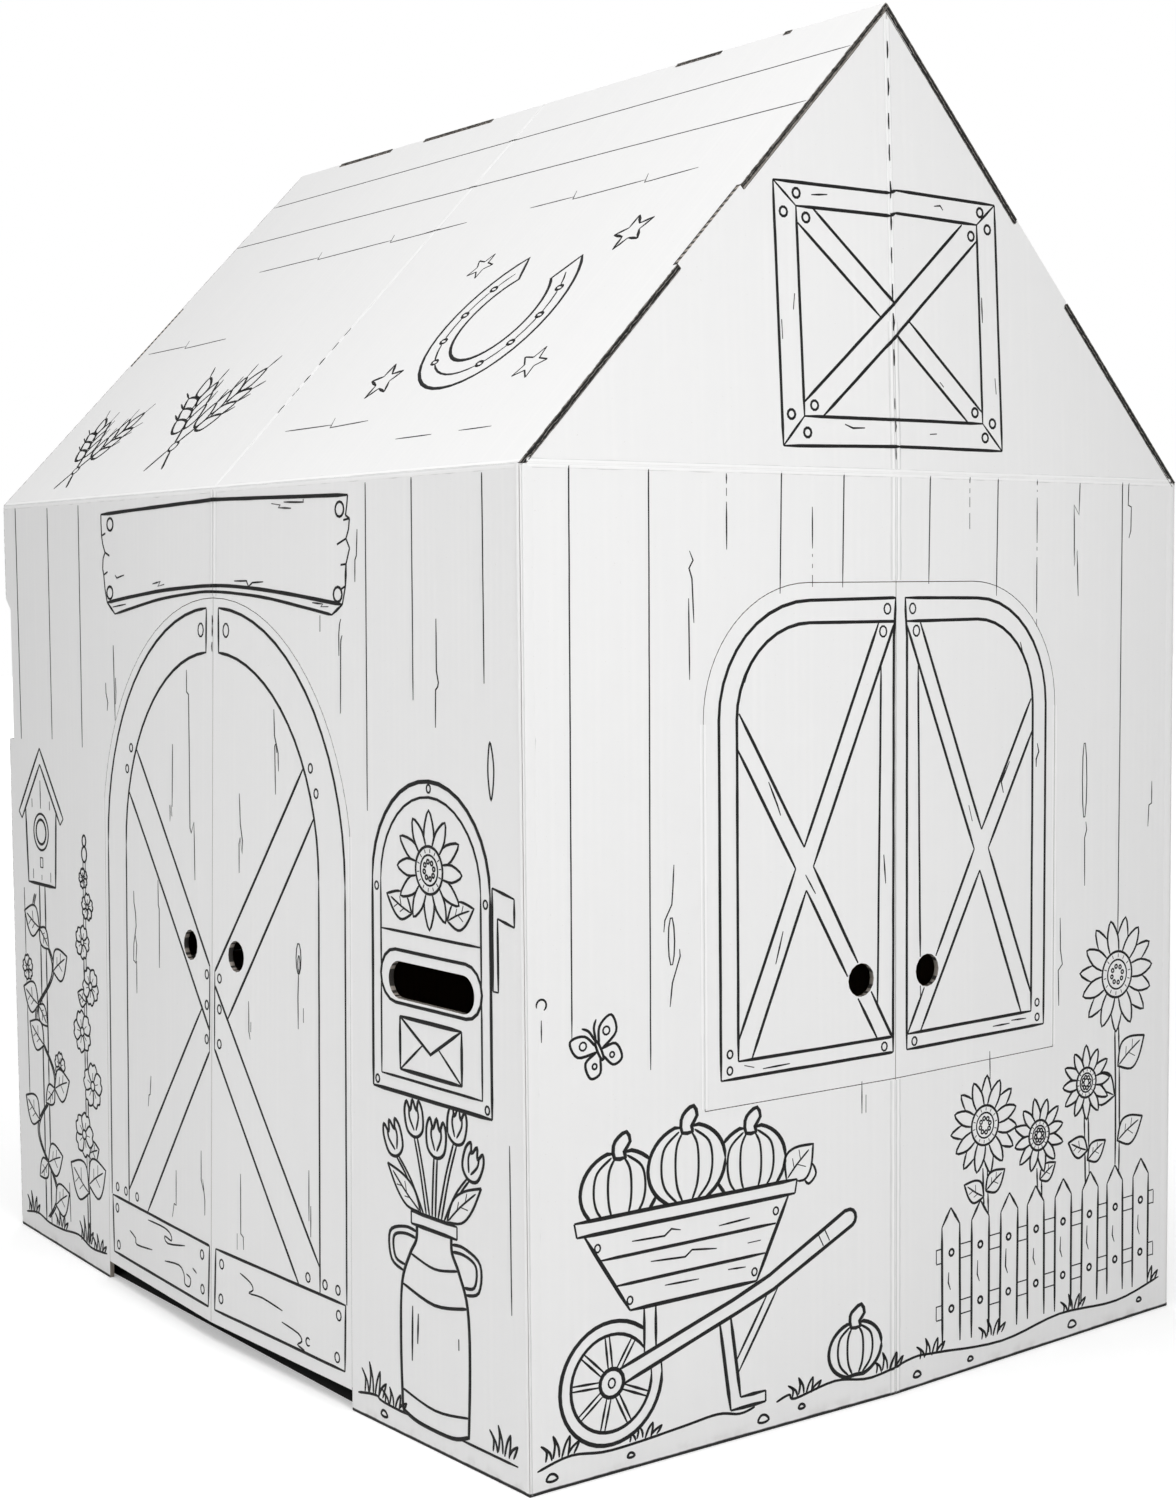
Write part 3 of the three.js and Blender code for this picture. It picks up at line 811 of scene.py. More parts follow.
# %% Every fold of the house
def fold(sheet, section_name, start, end, crumple=0.18):
    """Sweeps a section along a straight fold of one sheet, given in mm."""
    body, place = sheets[sheet]
    flat = flat_chains("fold_flat", [(stepped([start, end]), 1, False)])
    is_corner = section_name.startswith("corner")
    family = ("corners_" if is_corner else "folds_") + FINISH[sheet]
    paper = (corner_finishes if is_corner else fold_finishes)[FINISH[sheet]]
    mesh = grow(crease, flat, Section=sections[section_name], Paper=paper,
                Crumple=crumple * MM, Seed=start[0] * 0.37 + start[1] * 0.11)
    keep(family, body, folded(mesh, place), paper, "white_board")


def leaf_folds(wall, leaves, u, foot, leaf_foot, top):
    """The fold on which each leaf of a pair turns: one half on the wall, one on the leaf."""
    for hand, word in SIDES:
        halves = ("hinge_right", "hinge_left")[::hand]
        ends = ((wall, foot), (f"{leaves}_{word}", leaf_foot))
        for half, (sheet, low) in zip(halves, ends):
            fold(sheet, half, (hand * u, low), (hand * u, top), LEAF_CRUMPLE)


SIDES = ((-1, "left"), (1, "right"))
GABLES = ("near", "far")
FINISH = {sheet: sheet for sheet in facings}
FINISH.update({"door_left": "door_wall", "door_right": "door_wall"})
FINISH.update({sheet: sheet.split("_")[0] + "_gable" for sheet in sheets if "shutter" in sheet})
LENGTH, WIDTH = half_length / MM, half_width / MM
DOOR, WINDOW = door_half / MM, window_half / MM
LEAF_CRUMPLE, SLIT_CRUMPLE = 0.03, 0.05

# Heights on the sheets: the doors' straight folds and their arch, the windows, the shutters'
# straight folds, and the part of the peak that is slit
LEAF_FOOT, DOOR_HIGH, ARCH_TOP = 17, 428, 604
WINDOW_FOOT, WINDOW_TOP = 240, 612
SHUTTER_LOW, SHUTTER_HIGH = 243, 513
SLITS_FROM, PEAK = 800, 1018

fold("door_wall", "whole", (0, ARCH_TOP), (0, EAVES - 1))
fold("back_wall", "whole", (0, 1), (0, EAVES - 1))
for sheet in ("door_wall", "back_wall"):
    fold(sheet, "eaves_right", (-LENGTH + 2, EAVES), (LENGTH - 2, EAVES))
for sheet in ("door_roof", "back_roof"):
    fold(sheet, "slight", (0, 3), (0, TOP - 3))
    fold(sheet, "eaves_left", (-LENGTH + 2, 0), (LENGTH - 2, 0))
for end in GABLES:
    sheet = f"{end}_gable"
    for low, high in ((1, WINDOW_FOOT), (WINDOW_TOP, EAVES - 3), (EAVES + 3, SLITS_FROM)):
        fold(sheet, "whole", (0, low), (0, high))
    fold(sheet, "slight", (0, SLITS_FROM), (0, PEAK), SLIT_CRUMPLE)
    fold(sheet, "slight", (-WIDTH + 6, EAVES), (WIDTH - 6, EAVES))
    fold(sheet, "corner_left", (-WIDTH, 0.5), (-WIDTH, EAVES - 0.5))
    if end == "near":
        fold(sheet, "corner_right", (WIDTH, 0.5), (WIDTH, EAVES - 0.5))
    leaf_folds(sheet, f"{end}_shutter", WINDOW, SHUTTER_LOW, SHUTTER_LOW, SHUTTER_HIGH)
leaf_folds("door_wall", "door", DOOR, 1, LEAF_FOOT, DOOR_HIGH)
for outline in sections.values():
    bpy.data.objects.remove(outline)
print("fold families:", len(made))

# %% [markdown]
# ## Raw edges
#
# Where the board is cut, three papers show on edge: the two outer ones and the wave between
# them. Along the flutes the wave is cut lengthwise and only wanders, and across them it is a
# true wave. The tree takes a straight line, sets out the three papers side by side and sweeps
# each as a thin strip that stands proud of the cut by half a millimetre.

# %% The raw edge's geometry tree
raw_edge, given = geometry_tree("raw_edge", {"Paper": "Material"}, Board=4 * MM,
                                Outer=0.55 * MM, Wave=0.38 * MM, Height=1.45 * MM, Flute=FLUTE,
                                Wander=0.0, Proud=0.5 * MM, Seed=1.0)
cut_line = add(raw_edge, "GeometryNodeMeshToCurve", {0: given["Geometry"]}).outputs[0]
eighth = maths(raw_edge, "DIVIDE", given["Flute"], 8.0)
cut_line = add(raw_edge, "GeometryNodeResampleCurve", {"Curve": cut_line, "Length": eighth},
               mode="LENGTH").outputs[0]
seeded = seeded_spot(raw_edge, given["Seed"])
spot = add(raw_edge, "GeometryNodeInputPosition").outputs[0]
run = add(raw_edge, "ShaderNodeSeparateXYZ", {0: spot}).outputs[0]
turn = maths(raw_edge, "DIVIDE", maths(raw_edge, "MULTIPLY", run, 2 * math.pi), given["Flute"])
wander = maths(raw_edge, "MULTIPLY", around_zero(raw_edge, seeded, 60.0, 3.0, 0.7), 4.0)
wave = add(raw_edge, "ShaderNodeMix", {0: given["Wander"], 2: maths(raw_edge, "SINE", turn),
                                       3: wander}).outputs[0]
wave = maths(raw_edge, "MULTIPLY", wave, given["Height"])
ragged = around_zero(raw_edge, seeded, 160.0)
strip_height = maths(raw_edge, "MULTIPLY", given["Proud"], 2.0)
side_by_side = add(raw_edge, "GeometryNodeJoinGeometry")
for share, thickness, swing in ((0.0, given["Outer"], 0.0), (1.0, given["Outer"], 0.0),
                                (0.5, given["Wave"], 1.0)):
    across = maths(raw_edge, "MULTIPLY", given["Board"], -share)
    across = weighted(raw_edge, across, (thickness, share - 0.5), (wave, swing),
                      (ragged, 0.25 * MM))
    paper_line = upright(raw_edge, moved(raw_edge, cut_line, offset(raw_edge, y=across)))
    paper = sweep(raw_edge, paper_line, rectangle(raw_edge, thickness, strip_height))
    raw_edge.links.new(paper, side_by_side.inputs[0])
finished(raw_edge, side_by_side.outputs[0], given["Paper"])
print("nodes of the raw edge:", len(raw_edge.nodes))

# %% The paper's cut edge, and the painted shadow between the papers
edge_paper = grained("cut_paper", (260.0, 3.0, 0.7), (0.35, 0.7), tone(0.045, 0.06),
                     tone(0.30, 0.08), sheen=0.1, rough=0.85)
gap_shadow = grained("flute_shadow", (300.0,), None, tone(0.008), tone(0.045), sheen=0.0,
                   rough=0.95)
print("finishes:", edge_paper.name, gap_shadow.name)


# %% Edges along straight cuts
def cut_edge(sheet, start, end, wander=1.0, proud=0.5, inner=4.0):
    """The papers along one straight cut of a sheet, with the board to the left of the way."""
    body, place = sheets[sheet]
    length = math.dist(start, end)
    along_u, along_v = (end[0] - start[0]) / length, (end[1] - start[1]) / length
    flat = flat_chains("edge_flat", [([(0, 0), (length, 0)], 1, False)])
    mesh = grow(raw_edge, flat, Paper=edge_paper, Wander=wander, Proud=proud * MM,
                Board=inner * MM, Seed=start[0] * 0.13 + start[1] * 0.29)
    # A thin dark box under the papers: the painted shadow in the cut
    corners = [(x * MM, -y * MM, z * MM) for z in (-0.25, 0.06)
               for x, y in ((0, 0.1), (0, inner - 0.1), (length, inner - 0.1), (length, 0.1))]
    backing = plain_mesh("edge_backing", corners, faces=[
        (0, 3, 2, 1), (4, 5, 6, 7), (0, 1, 5, 4), (1, 2, 6, 5), (2, 3, 7, 6), (3, 0, 4, 7)])

    def edge_place(run, across, out):
        u = start[0] * MM + along_u * run + along_v * out
        v = start[1] * MM + along_v * run - along_u * out
        return place(u, v, across)

    keep("raw_edges", body, folded(mesh, edge_place), edge_paper, "raw_edge")
    keep("edge_shadows", body, folded(backing, edge_place), gap_shadow, "raw_edge")


# A roof panel's side is cut below and above its side tab, which is folded down instead
TAB_LOW, TAB_HIGH = 0.403 * TOP, 0.578 * TOP
RIDGE_CUTS = ((249, 344), (78.5, 191), (-240, -184), (-322, -314))
SEAM_CUTS = ((1, 469.5), (602.5, EAVES - 2))
# The back roof's wider edges also paint the shadow in the gap over the gable's flange
for sheet in ("door_roof", "back_roof"):
    for hand in (-1, 1):
        for low, high, inner in ((0.4, TAB_LOW, 4.3), (TAB_HIGH, TOP - 1, 3.3)):
            way = [(hand * LENGTH, low), (hand * LENGTH, high)][::hand]
            cut_edge(sheet, *way, inner=inner if sheet == "door_roof" else 5.4)
for low, high in RIDGE_CUTS:
    cut_edge("back_roof", (high, TOP), (low, TOP), wander=0.0)
for low, high in SEAM_CUTS:
    cut_edge("door_wall", (-LENGTH, high), (-LENGTH, low), proud=0.3)
print("edges of the roof panels and of the glued seam cut")

# %% [markdown]
# ## Farmyard drawings
#
# The large pictures are a colouring book's: plain outlines of things that stand about a barn.
# They are drawn from front to back. Whatever is finished is marked as being in front, and the
# pen stops wherever a later stroke would run behind it, so that the planks of the wall end
# at the pictures too. A few small functions draw a leaf, a pumpkin or a sunflower at any place
# and size, and the larger scenes are put together from them.

# %% Small things to draw
def turned(points, degrees, u=0.0, v=0.0, scale=1.0):
    """Points turned about the origin, scaled and moved."""
    cos, sin = math.cos(math.radians(degrees)), math.sin(math.radians(degrees))
    return [(u + scale * (a * cos - b * sin), v + scale * (a * sin + b * cos))
            for a, b in points]


def leaf(sheet, u, v, length, degrees, fat=0.34, nib_width=MEDIUM):
    """A leaf that grows from a point in a direction, with its ribs."""
    def at(points):
        return turned(points, degrees, u, v, length)

    each(sheet, FINE, at(curve((0.04, 0), (0.4, 0.02), (0.84, 0))),
         *(at([(along, 0.01), (along + 0.12, way * fat * 0.42)])
           for along, way in ((0.3, 1), (0.42, -1), (0.54, 1))))
    side = curve((0, 0), (0.3, fat * 0.75), (0.62, fat * 0.66), (1, 0), per_span=4)
    other = curve((1, 0), (0.62, -fat * 0.66), (0.3, -fat * 0.75), (0, 0), per_span=4)
    shape(sheet, at(side + other[:-1]), nib_width)


def tuft(sheet, u, v, height=16):
    """A tuft of grass: bent blades, each drawn as two lines that meet at its tip."""
    for k, (at, tall, lean) in enumerate(((-9, 0.7, -6), (-3, 1.0, -2), (4, 0.85, 5),
                                          (9, 0.55, 8))):
        top = height * tall
        foot, tip = v + (k % 2), (u + at + lean, v + top)
        left = curve((u + at - 2, foot), (u + at + lean * 0.2, v + top * 0.6), tip, per_span=3)
        right = curve((u + at + 3, foot), (u + at + 3 + lean * 0.3, v + top * 0.5), tip,
                      per_span=3)
        each(sheet, MEDIUM, left, right)


def pebble(sheet, u, v, size):
    """A pebble on the ground."""
    outline = curve((-1, 0), (-0.5, 0.8), (0.4, 0.75), (1, 0), (0, -0.3), closed=True, per_span=3)
    shape(sheet, turned(outline, 0, u, v, size), MEDIUM)


def pumpkin(sheet, u, v, wide, tall):
    """A ribbed pumpkin with a bent stem."""
    top, shoulder = v + tall, v + tall * 0.8
    shape(sheet, curve((u - 4, shoulder), (u - 5, shoulder + 9), (u - 1, top + 9),
                       (u + 6, top + 12), (u + 9, top + 5), (u + 4, shoulder + 4),
                       (u + 5, shoulder), closed=True, per_span=2))
    for share in (-0.66, -0.3, 0.3, 0.66):
        each(sheet, MEDIUM, curve(*((u + share * wide * a, v + tall * b) for a, b in (
            (0.3, 0.84), (0.86, 0.5), (1, 0), (0.86, -0.5), (0.4, -0.88)))))
    lobes = [(u + wide * math.cos(t), v + tall * math.sin(t)
              * (1 - 0.13 * max(0, math.cos(4 * (t - math.pi / 2)) - 0.4)))
             for t in (math.radians(9 * k) for k in range(40))]
    shape(sheet, lobes)


def sunflower(sheet, u, v, size, petals=15, turn=0.0):
    """A sunflower's head: pointed petals round a disc of seeds."""
    disc = size * 0.42
    for k in range(8):
        at = turned([(disc * 0.36, 0)], k * 45 + 12, u, v)[0]
        draw(sheet, oval(*at, 1.5), FINE, closed=True)
    draw(sheet, oval(u, v, disc * 0.64), FINE, closed=True)
    for k in range(14):
        rim = turned([(disc * 0.74, 0), (disc * 0.9, 0)], k * 360 / 14 + 8, u, v)
        draw(sheet, rim, FINE)
    shape(sheet, oval(u, v, disc), MEDIUM)
    step = 360 / petals
    for k in sorted(range(petals), key=lambda k: k % 2):
        low = disc * 0.9
        petal = [(low, -0.12 * size), (size * 0.7, -size * 0.15), (size * (1 + 0.05 * (k % 2)), 0),
                 (size * 0.7, size * 0.15), (low, 0.12 * size)]
        shape(sheet, turned(curve(*petal, per_span=3), turn + k * step, u, v), MEDIUM)


def stem(sheet, points, wide=5.0, nib_width=MEDIUM):
    """A stem drawn as two lines."""
    middle = curve(*points)
    left, right = ([(u + away, v) for u, v in middle] for away in (-wide / 2, wide / 2))
    each(sheet, nib_width, left, right)
    in_front(sheet, left + right[::-1])


def star(sheet, u, v, size, degrees=0.0):
    """A five-pointed star."""
    corners = [turned([(0, size * (0.42 if k % 2 else 1))], -36 * k)[0] for k in range(10)]
    panel(sheet, turned(corners, degrees, u, v))


def blossom(sheet, u, v, size, turn=0.0):
    """A five-petalled blossom seen from the front."""
    shape(sheet, oval(u, v, size * 0.22), MEDIUM)
    for k in range(5):
        vein = [(size * 0.3, 0), (size * 0.6, 0)]
        draw(sheet, turned(vein, 72 * k + turn, u, v), FINE)
        petal = curve((size * 0.15, -size * 0.16), (size * 0.6, -size * 0.5), (size, -size * 0.24),
                      (size * 0.92, 0), (size, size * 0.24), (size * 0.6, size * 0.5),
                      (size * 0.15, size * 0.16), per_span=3)
        shape(sheet, turned(petal, 72 * k + turn, u, v), MEDIUM)


def butterfly(sheet, u, v, size, degrees):
    """A butterfly seen from above."""
    def at(points, side=1):
        return turned([(side * a, b) for a, b in points], degrees, u, v, size)

    shape(sheet, at(oval(0, 0, 0.09, 0.4)), MEDIUM)
    for side in (1, -1):
        draw(sheet, at(curve((0.02, 0.4), (0.12, 0.85), (0.34, 1.1)), side), MEDIUM)
        for a, b, radius in ((0.56, 0.5, 0.15), (0.42, -0.42, 0.1)):
            draw(sheet, at(oval(a, b, radius), side), FINE, closed=True)
        for wing in (((0.05, 0.1), (0.35, 0.78), (0.98, 0.92), (0.92, 0.25), (0.08, 0)),
                     ((0.08, 0), (0.72, -0.12), (0.76, -0.72), (0.3, -0.76), (0.05, -0.15))):
            shape(sheet, at(curve(*wing), side), MEDIUM)


print("small things ready")

# %% [markdown]
# ### A barrow of pumpkins
#
# It stands under each gable's window, on the side of the door wall. The shafts come first,
# then the tray with its rim and boards, the wheel, and last the pumpkins that look over the
# rim. A picket fence with sunflowers stands beside it.


# %% The wheelbarrow, the fence and the flowers
def wheelbarrow(sheet, u, hand=1):
    """A wheelbarrow full of pumpkins; u is its middle, and hand -1 turns it round."""
    def at(*points):
        return [(u + hand * a, b) for a, b in points]

    wheel, rim, foot = (-80, 64), 170, 112
    tyre = at(*arc(*wheel, 43, 0, 351, steps=39))
    each(sheet, MEDIUM, at((112, 139), (117, 129.5)), at((106, 136), (111, 126.5)))
    nails(sheet, 3.4, *at(wheel))
    shape(sheet, at(*arc(*wheel, 10, 0, 345, steps=15)))
    shape(sheet, at((-78, 71), (26, 102), (60, 114), (132, 149),
                    *arc(136, 143, 6.5, 110, -60, steps=6), (64, 103), (30, 92), (-75, 60)))
    panel(sheet, at((24, 92), (33, 30), (56, 30), (56, 22), (24, 22), (14, 90)), closed=False)
    each(sheet, MEDIUM, at((31, 48), (68, 104)), at((29.2, 57), (59, 102.2)))
    each(sheet, FINE, at((-62, 160), (-34, 159), (-28, 163), (-20, 161)),
         at((14, 158), (42, 159)), at((-46, 143), (-16, 141), (-10, 145), (12, 142)),
         at((-34, 124), (-4, 123)), at((22, 125), (38, 124)), at((40, 141), (52, 141)))
    nails(sheet, 2.8, *at((-91, 160), (66, 160), (-64, 119), (46, 119)))
    each(sheet, BOLD, at((-88, 151), (66, 151)), at((-76, 131), (56, 131)))
    lines(sheet, at((-102, rim), (-64, foot), (48, foot), (78, rim)), HEAVY)
    lines(sheet, at((-108, rim), (84, rim), (86, rim + 10), (-110, rim + 10)), HEAVY, closed=True)
    in_front(sheet, at((-102, rim), (-64, foot), (48, foot), (78, rim), (84, rim),
                       (86, rim + 10), (-110, rim + 10), (-108, rim)))
    each(sheet, BOLD, *(at((a, foot), (a, 80)) for a in (-52, -42)))
    in_front(sheet, at((-52, foot), (-52, 76), (-42, 79), (-42, foot)))
    for k in range(9):
        each(sheet, MEDIUM, *(at(*turned([(9.8, away), (34, away)], 16 + 40 * k, *wheel))
                              for away in (-1.8, 1.8)))
    draw(sheet, at(*arc(*wheel, 34, 0, 351, steps=39)), BOLD, closed=True)
    shape(sheet, tyre)
    for a, b, wide, tall in ((-14, 206, 34, 29), (-72, 198, 33, 27), (43, 199, 32, 27)):
        pumpkin(sheet, u + hand * a, b, wide, tall)
    leaf(sheet, u + hand * 76, rim + 11, 34, 90 - hand * 48, 0.5)
    draw(sheet, at(*curve((78, rim + 14), (96, rim + 22), (104, rim + 12), (97, rim + 5),
                          (92, rim + 12), (99, rim + 16))), MEDIUM)


def fence(sheet, first, count, pitch=33.0, top=118, foot=26):
    """A picket fence that starts at u first."""
    pickets = [first + k * pitch for k in range(count)]
    for k, u in enumerate(pickets):
        lean = 0.8 * ((k * 7) % 3 - 1)
        panel(sheet, [(u - 10, foot - (k % 3)), (u - 10 + lean, top), (u + lean, top + 14),
                      (u + 10 + lean, top), (u + 10, foot - (k % 3))], BOLD, closed=False)
    for k, u in enumerate(pickets):
        for v in (53, 97):
            draw_over(sheet, oval(u, v, 2.6), MEDIUM, closed=True)
        draw_over(sheet, [(u - 3, 82 + 3 * (k % 3)), (u - 3.5, 74), (u - 1, 68)], FINE)
    start, end = pickets[0] - 17, pickets[-1] + 17
    each(sheet, MEDIUM, *([(start, v - 0.5), (end, v + 0.8)] for v in (47, 58, 91, 102)),
         *([(u, v), (u, v + 11)] for u in (start, end) for v in (47, 91)))
    for v in (47, 91):
        in_front(sheet, [(start, v), (end, v), (end, v + 11), (start, v + 11)])


def fence_and_flowers(sheet, hand=1):
    """The fence with sunflowers behind it, beside and under the window."""
    for u in (38, 108, 206) if hand > 0 else (-38, -140, -240):
        tuft(sheet, u, 21, 15)
    fence(sheet, 62 if hand > 0 else -293, 8)
    flowers = ((260, 290, 45), (100, 190, 37), (164, 172, 29), (222, 206, 29))
    for u, v, size in flowers:
        sunflower(sheet, hand * u, v, size, 15 if size > 30 else 12, turn=u % 17)
    for u, v, length, degrees in ((262, 214, 40, 32), (258, 190, 40, 152), (262, 152, 36, 26),
                                  (224, 150, 26, 158), (224, 142, 26, 30), (101, 138, 26, 32),
                                  (99, 134, 26, 150), (165, 136, 22, 30)):
        leaf(sheet, hand * u, v, length, degrees if hand > 0 else 180 - degrees, 0.42)
    for u, v, size in flowers:
        stem(sheet, [(hand * u, v - size * 0.9), (hand * u + 2, v * 0.55), (hand * u, 26)])


def ground(sheet):
    """The ground line under the pictures, with grass and pebbles."""
    for u, v, height in ((-306, 21, 17), (-236, 19, 12), (-90, 19, 14), (300, 24, 17)):
        tuft(sheet, u, v, height)
    for u, v, size in ((-312, 8, 4.5), (-246, 9, 3), (-128, 8, 5), (-92, 10, 3), (24, 9, 4),
                       (84, 8, 3), (206, 9, 5), (292, 12, 3)):
        pebble(sheet, u, v, size)
    draw(sheet, curve((-324, 16), (-296, 21), (-262, 17), (-202, 20), (-170, 22), (-150, 18),
                      (-136, 20)), MEDIUM)
    draw(sheet, curve((-116, 19), (-104, 22), (-98, 18), (-60, 23), (-24, 18), (20, 24),
                      (46, 22), (120, 15), (190, 22), (262, 18), (318, 27)), MEDIUM)


for end, hand in zip(GABLES, (1, -1)):
    sheet = f"{end}_gable"
    pumpkin(sheet, hand * -40, 43, 26, 21)
    tuft(sheet, hand * -8, 20, 15)
    wheelbarrow(sheet, hand * -182, hand)
    fence_and_flowers(sheet, hand)
    butterfly(sheet, hand * -270, 296, 19, hand * 24)
    ground(sheet)
print("gable strokes:", len(print_chains["near_gable"]))

# %% [markdown]
# ### A letter plate and a can of tulips
#
# The right pier of the door wall has the letter slot. It is framed as an arched metal plate
# with an envelope below the slot. A milk can with tulips stands under it.

# %% The letter plate
PLATE = 311.5
slot_frame = (arc(PLATE + 43.5, 333.5, 19, -90, 90, steps=8)
              + arc(PLATE - 43.5, 333.5, 19, 90, 270, steps=8))
shape("door_wall", slot_frame, BOLD)
each("door_wall", BOLD, [(PLATE - 38, 305), (PLATE, 283), (PLATE + 38, 305)])
each("door_wall", MEDIUM, *([(PLATE + side * 38, 267), (PLATE + side * 10, 288)]
                            for side in (-1, 1)))
panel("door_wall", [(PLATE - 38, 305), (PLATE + 38, 305), (PLATE + 38, 267), (PLATE - 38, 267)])
sunflower("door_wall", PLATE, 413, 40, 12)
for side in (-1, 1):
    leaf("door_wall", PLATE + side * 22, 380, 34, 90 - side * 70, 0.36)
draw("door_wall", [(PLATE - 62, 366), (PLATE + 62, 366)], MEDIUM)
nails("door_wall", 2.9, *((PLATE + u, v) for u, v in (
    (-67.5, 255.5), (67.5, 255.5), (-67.5, 396), (67.5, 396), (0, 470))))
for half, foot, nib_width in ((62, 261, MEDIUM), (73, 250, HEAVY)):
    plate = [(PLATE + half, 402), (PLATE + half, foot), (PLATE - half, foot), (PLATE - half, 402)]
    lines("door_wall", plate, nib_width)
    draw("door_wall", arc(PLATE, 402, half, 0, 180, steps=18), nib_width)
in_front("door_wall", plate + arc(PLATE, 402, 73, 180, 0, steps=18))
panel("door_wall", [(387, 338), (387, 408), (412, 403), (412, 384), (393, 388), (393, 338)], BOLD)
nails("door_wall", 1.8, (390, 344))
print("strokes with the letter plate:", len(print_chains["door_wall"]))

# %% The can of tulips
CAN, CAN_TOP = 314, 167
for u, v, height in ((236, 19, 24), (262, 17, 14), (393, 20, 20)):
    tuft("door_wall", u, v, height)
panel("door_wall", [(CAN - 28, 158), (CAN + 28, 158), (CAN + 28, CAN_TOP), (CAN - 28, CAN_TOP)])
for half, v, sag, nib_width in ((42, 35, 6, MEDIUM), (40, 112, 7, BOLD), (29, 136, 5, MEDIUM)):
    draw("door_wall", curve((CAN - half, v), (CAN, v - sag), (CAN + half, v)), nib_width)
each("door_wall", MEDIUM, [(CAN - 27, 98), (CAN - 28, 58)], [(CAN - 20, 94), (CAN - 21, 72)],
     [(CAN + 29, 88), (CAN + 29, 80)])
right_side = curve((CAN + 40, 21), (CAN + 42, 70), (CAN + 40, 112), (CAN + 30, 135),
                   (CAN + 22, 147), (CAN + 21, 158))
can_outline = right_side + [(2 * CAN - u, v) for u, v in reversed(right_side)]
can_outline += curve((CAN - 41, 20), (CAN - 20, 15), (CAN + 20, 15), (CAN + 40, 21))[1:-1]
shape("door_wall", can_outline)
for hand in (-1, 1):
    for out in (0, 5):
        handle = curve((CAN + hand * (34 + out / 3), 126 - out),
                       (CAN + hand * (48 + out), 129 - out / 2),
                       (CAN + hand * (50 + out), 144 + out / 2),
                       (CAN + hand * 36, 149 + out), (CAN + hand * 20, 148 + out))
        draw("door_wall", handle, BOLD)


def tulip(u, v, size, foot, lean):
    """A tulip on a stem that comes out of the can."""
    for side in (-1, 1):
        front = curve((side * 0.24, 1.0), (side * 0.3, 0.6), (side * 0.06, 0.1))
        draw("door_wall", turned(front, lean, u, v, size), MEDIUM)
    cup = curve((-0.5, 0.1), (-0.6, 0.8), (-0.4, 1.2), (-0.2, 0.85), (0, 1.25), (0.2, 0.85),
                (0.4, 1.2), (0.6, 0.8), (0.5, 0.1), (0, -0.15), closed=True, per_span=4)
    shape("door_wall", turned(cup, lean, u, v, size), BOLD)
    stem("door_wall", [(u, v - size * 0.1), ((u + foot) / 2, (v + CAN_TOP) / 2 + 3),
                       (foot, CAN_TOP)], 4)


for u, degrees, length in ((330, 38, 52), (298, 146, 50)):
    leaf("door_wall", u, 168, length, degrees, 0.22)
for u, v, size, foot, lean in ((317, 214, 20, 314, -3), (268, 206, 19, 300, 24),
                               (357, 206, 19, 328, -24), (292, 224, 19, 307, 9),
                               (341, 228, 19, 321, -10)):
    tulip(u, v, size, foot, lean)
draw("door_wall", curve((216, 16), (240, 20), (262, 17), (410, 17)), MEDIUM)
pebble("door_wall", 250, 8, 4)
print("strokes with the can:", len(print_chains["door_wall"]))

# %% [markdown]
# ### A bird box and a hollyhock
#
# They fill the narrow left pier of the door wall. A vine grows up the post of the bird box.

# %% The bird box, its vine and the hollyhock
POST = -352
for u, v, height in ((-392, 18, 20), (-322, 19, 15), (-262, 19, 24), (-232, 18, 15)):
    tuft("door_wall", u, v, height)
for radius, nib_width in ((11.5, BOLD), (17, MEDIUM)):
    shape("door_wall", oval(POST, 386, radius), nib_width)
panel("door_wall", [(POST - 3, 362), (POST - 3, 353), (POST + 3, 353), (POST + 3, 362)], MEDIUM)
for u in (-20, 0, 21):
    each("door_wall", FINE, [(POST + u, 416 if u else 434), (POST + u, 408)],
         [(POST + u, 350 if u else 346), (POST + u, 341)])
panel("door_wall", [(POST - 52, 402), (POST, 464), (POST + 52, 402), (POST + 45, 396),
                    (POST, 449), (POST - 45, 396)], BOLD)
box_side = [(POST - 36, 410), (POST - 32, 337), (POST + 32, 337), (POST + 36, 410)]
lines("door_wall", box_side, HEAVY)
in_front("door_wall", box_side + [(POST, 452)])
vine = curve(*((POST + 22 * math.sin(k * 0.62), 22 + 10.5 * k) for k in range(30)), per_span=2)
for k in range(8):
    u, v = vine[7 * k + 3]
    side = 1 if u > POST else -1
    leaf("door_wall", u, v, 38, 90 - side * (62 + 8 * (k % 2)), 0.5)
    if k % 2:
        leaf("door_wall", u, v, 28, 90 + side * 128, 0.44)
for u, v in ((POST + 34, 172), (POST - 40, 254)):
    blossom("door_wall", u, v, 12, u % 30)
stem("door_wall", vine, 3.4)
stem("door_wall", [(POST, 337), (POST, 180), (POST, 18)], 13, BOLD)

HOLLYHOCK = -254
for k, (v, size, away) in enumerate(((118, 20, -9), (166, 20, 12), (212, 19, -10), (256, 17, 10),
                                     (294, 15, -7), (327, 12, 5), (352, 9, -3))):
    blossom("door_wall", HOLLYHOCK + away, v, size, 17 * k)
for v, length, degrees in ((74, 44, 28), (66, 46, 154), (102, 26, 20), (240, 20, 160)):
    leaf("door_wall", HOLLYHOCK, v, length, degrees, 0.52)
for v, size in ((374, 5.5), (386, 4)):
    shape("door_wall", oval(HOLLYHOCK, v, size, size * 1.3), MEDIUM)
stem("door_wall", [(HOLLYHOCK, 381), (HOLLYHOCK - 2, 200), (HOLLYHOCK, 20)], 5)
draw("door_wall", curve((-410, 15), (-380, 20), (-352, 17), (-318, 18), (-280, 22), (-250, 17),
                        (-214, 20)), MEDIUM)
print("door wall strokes:", len(print_chains["door_wall"]))

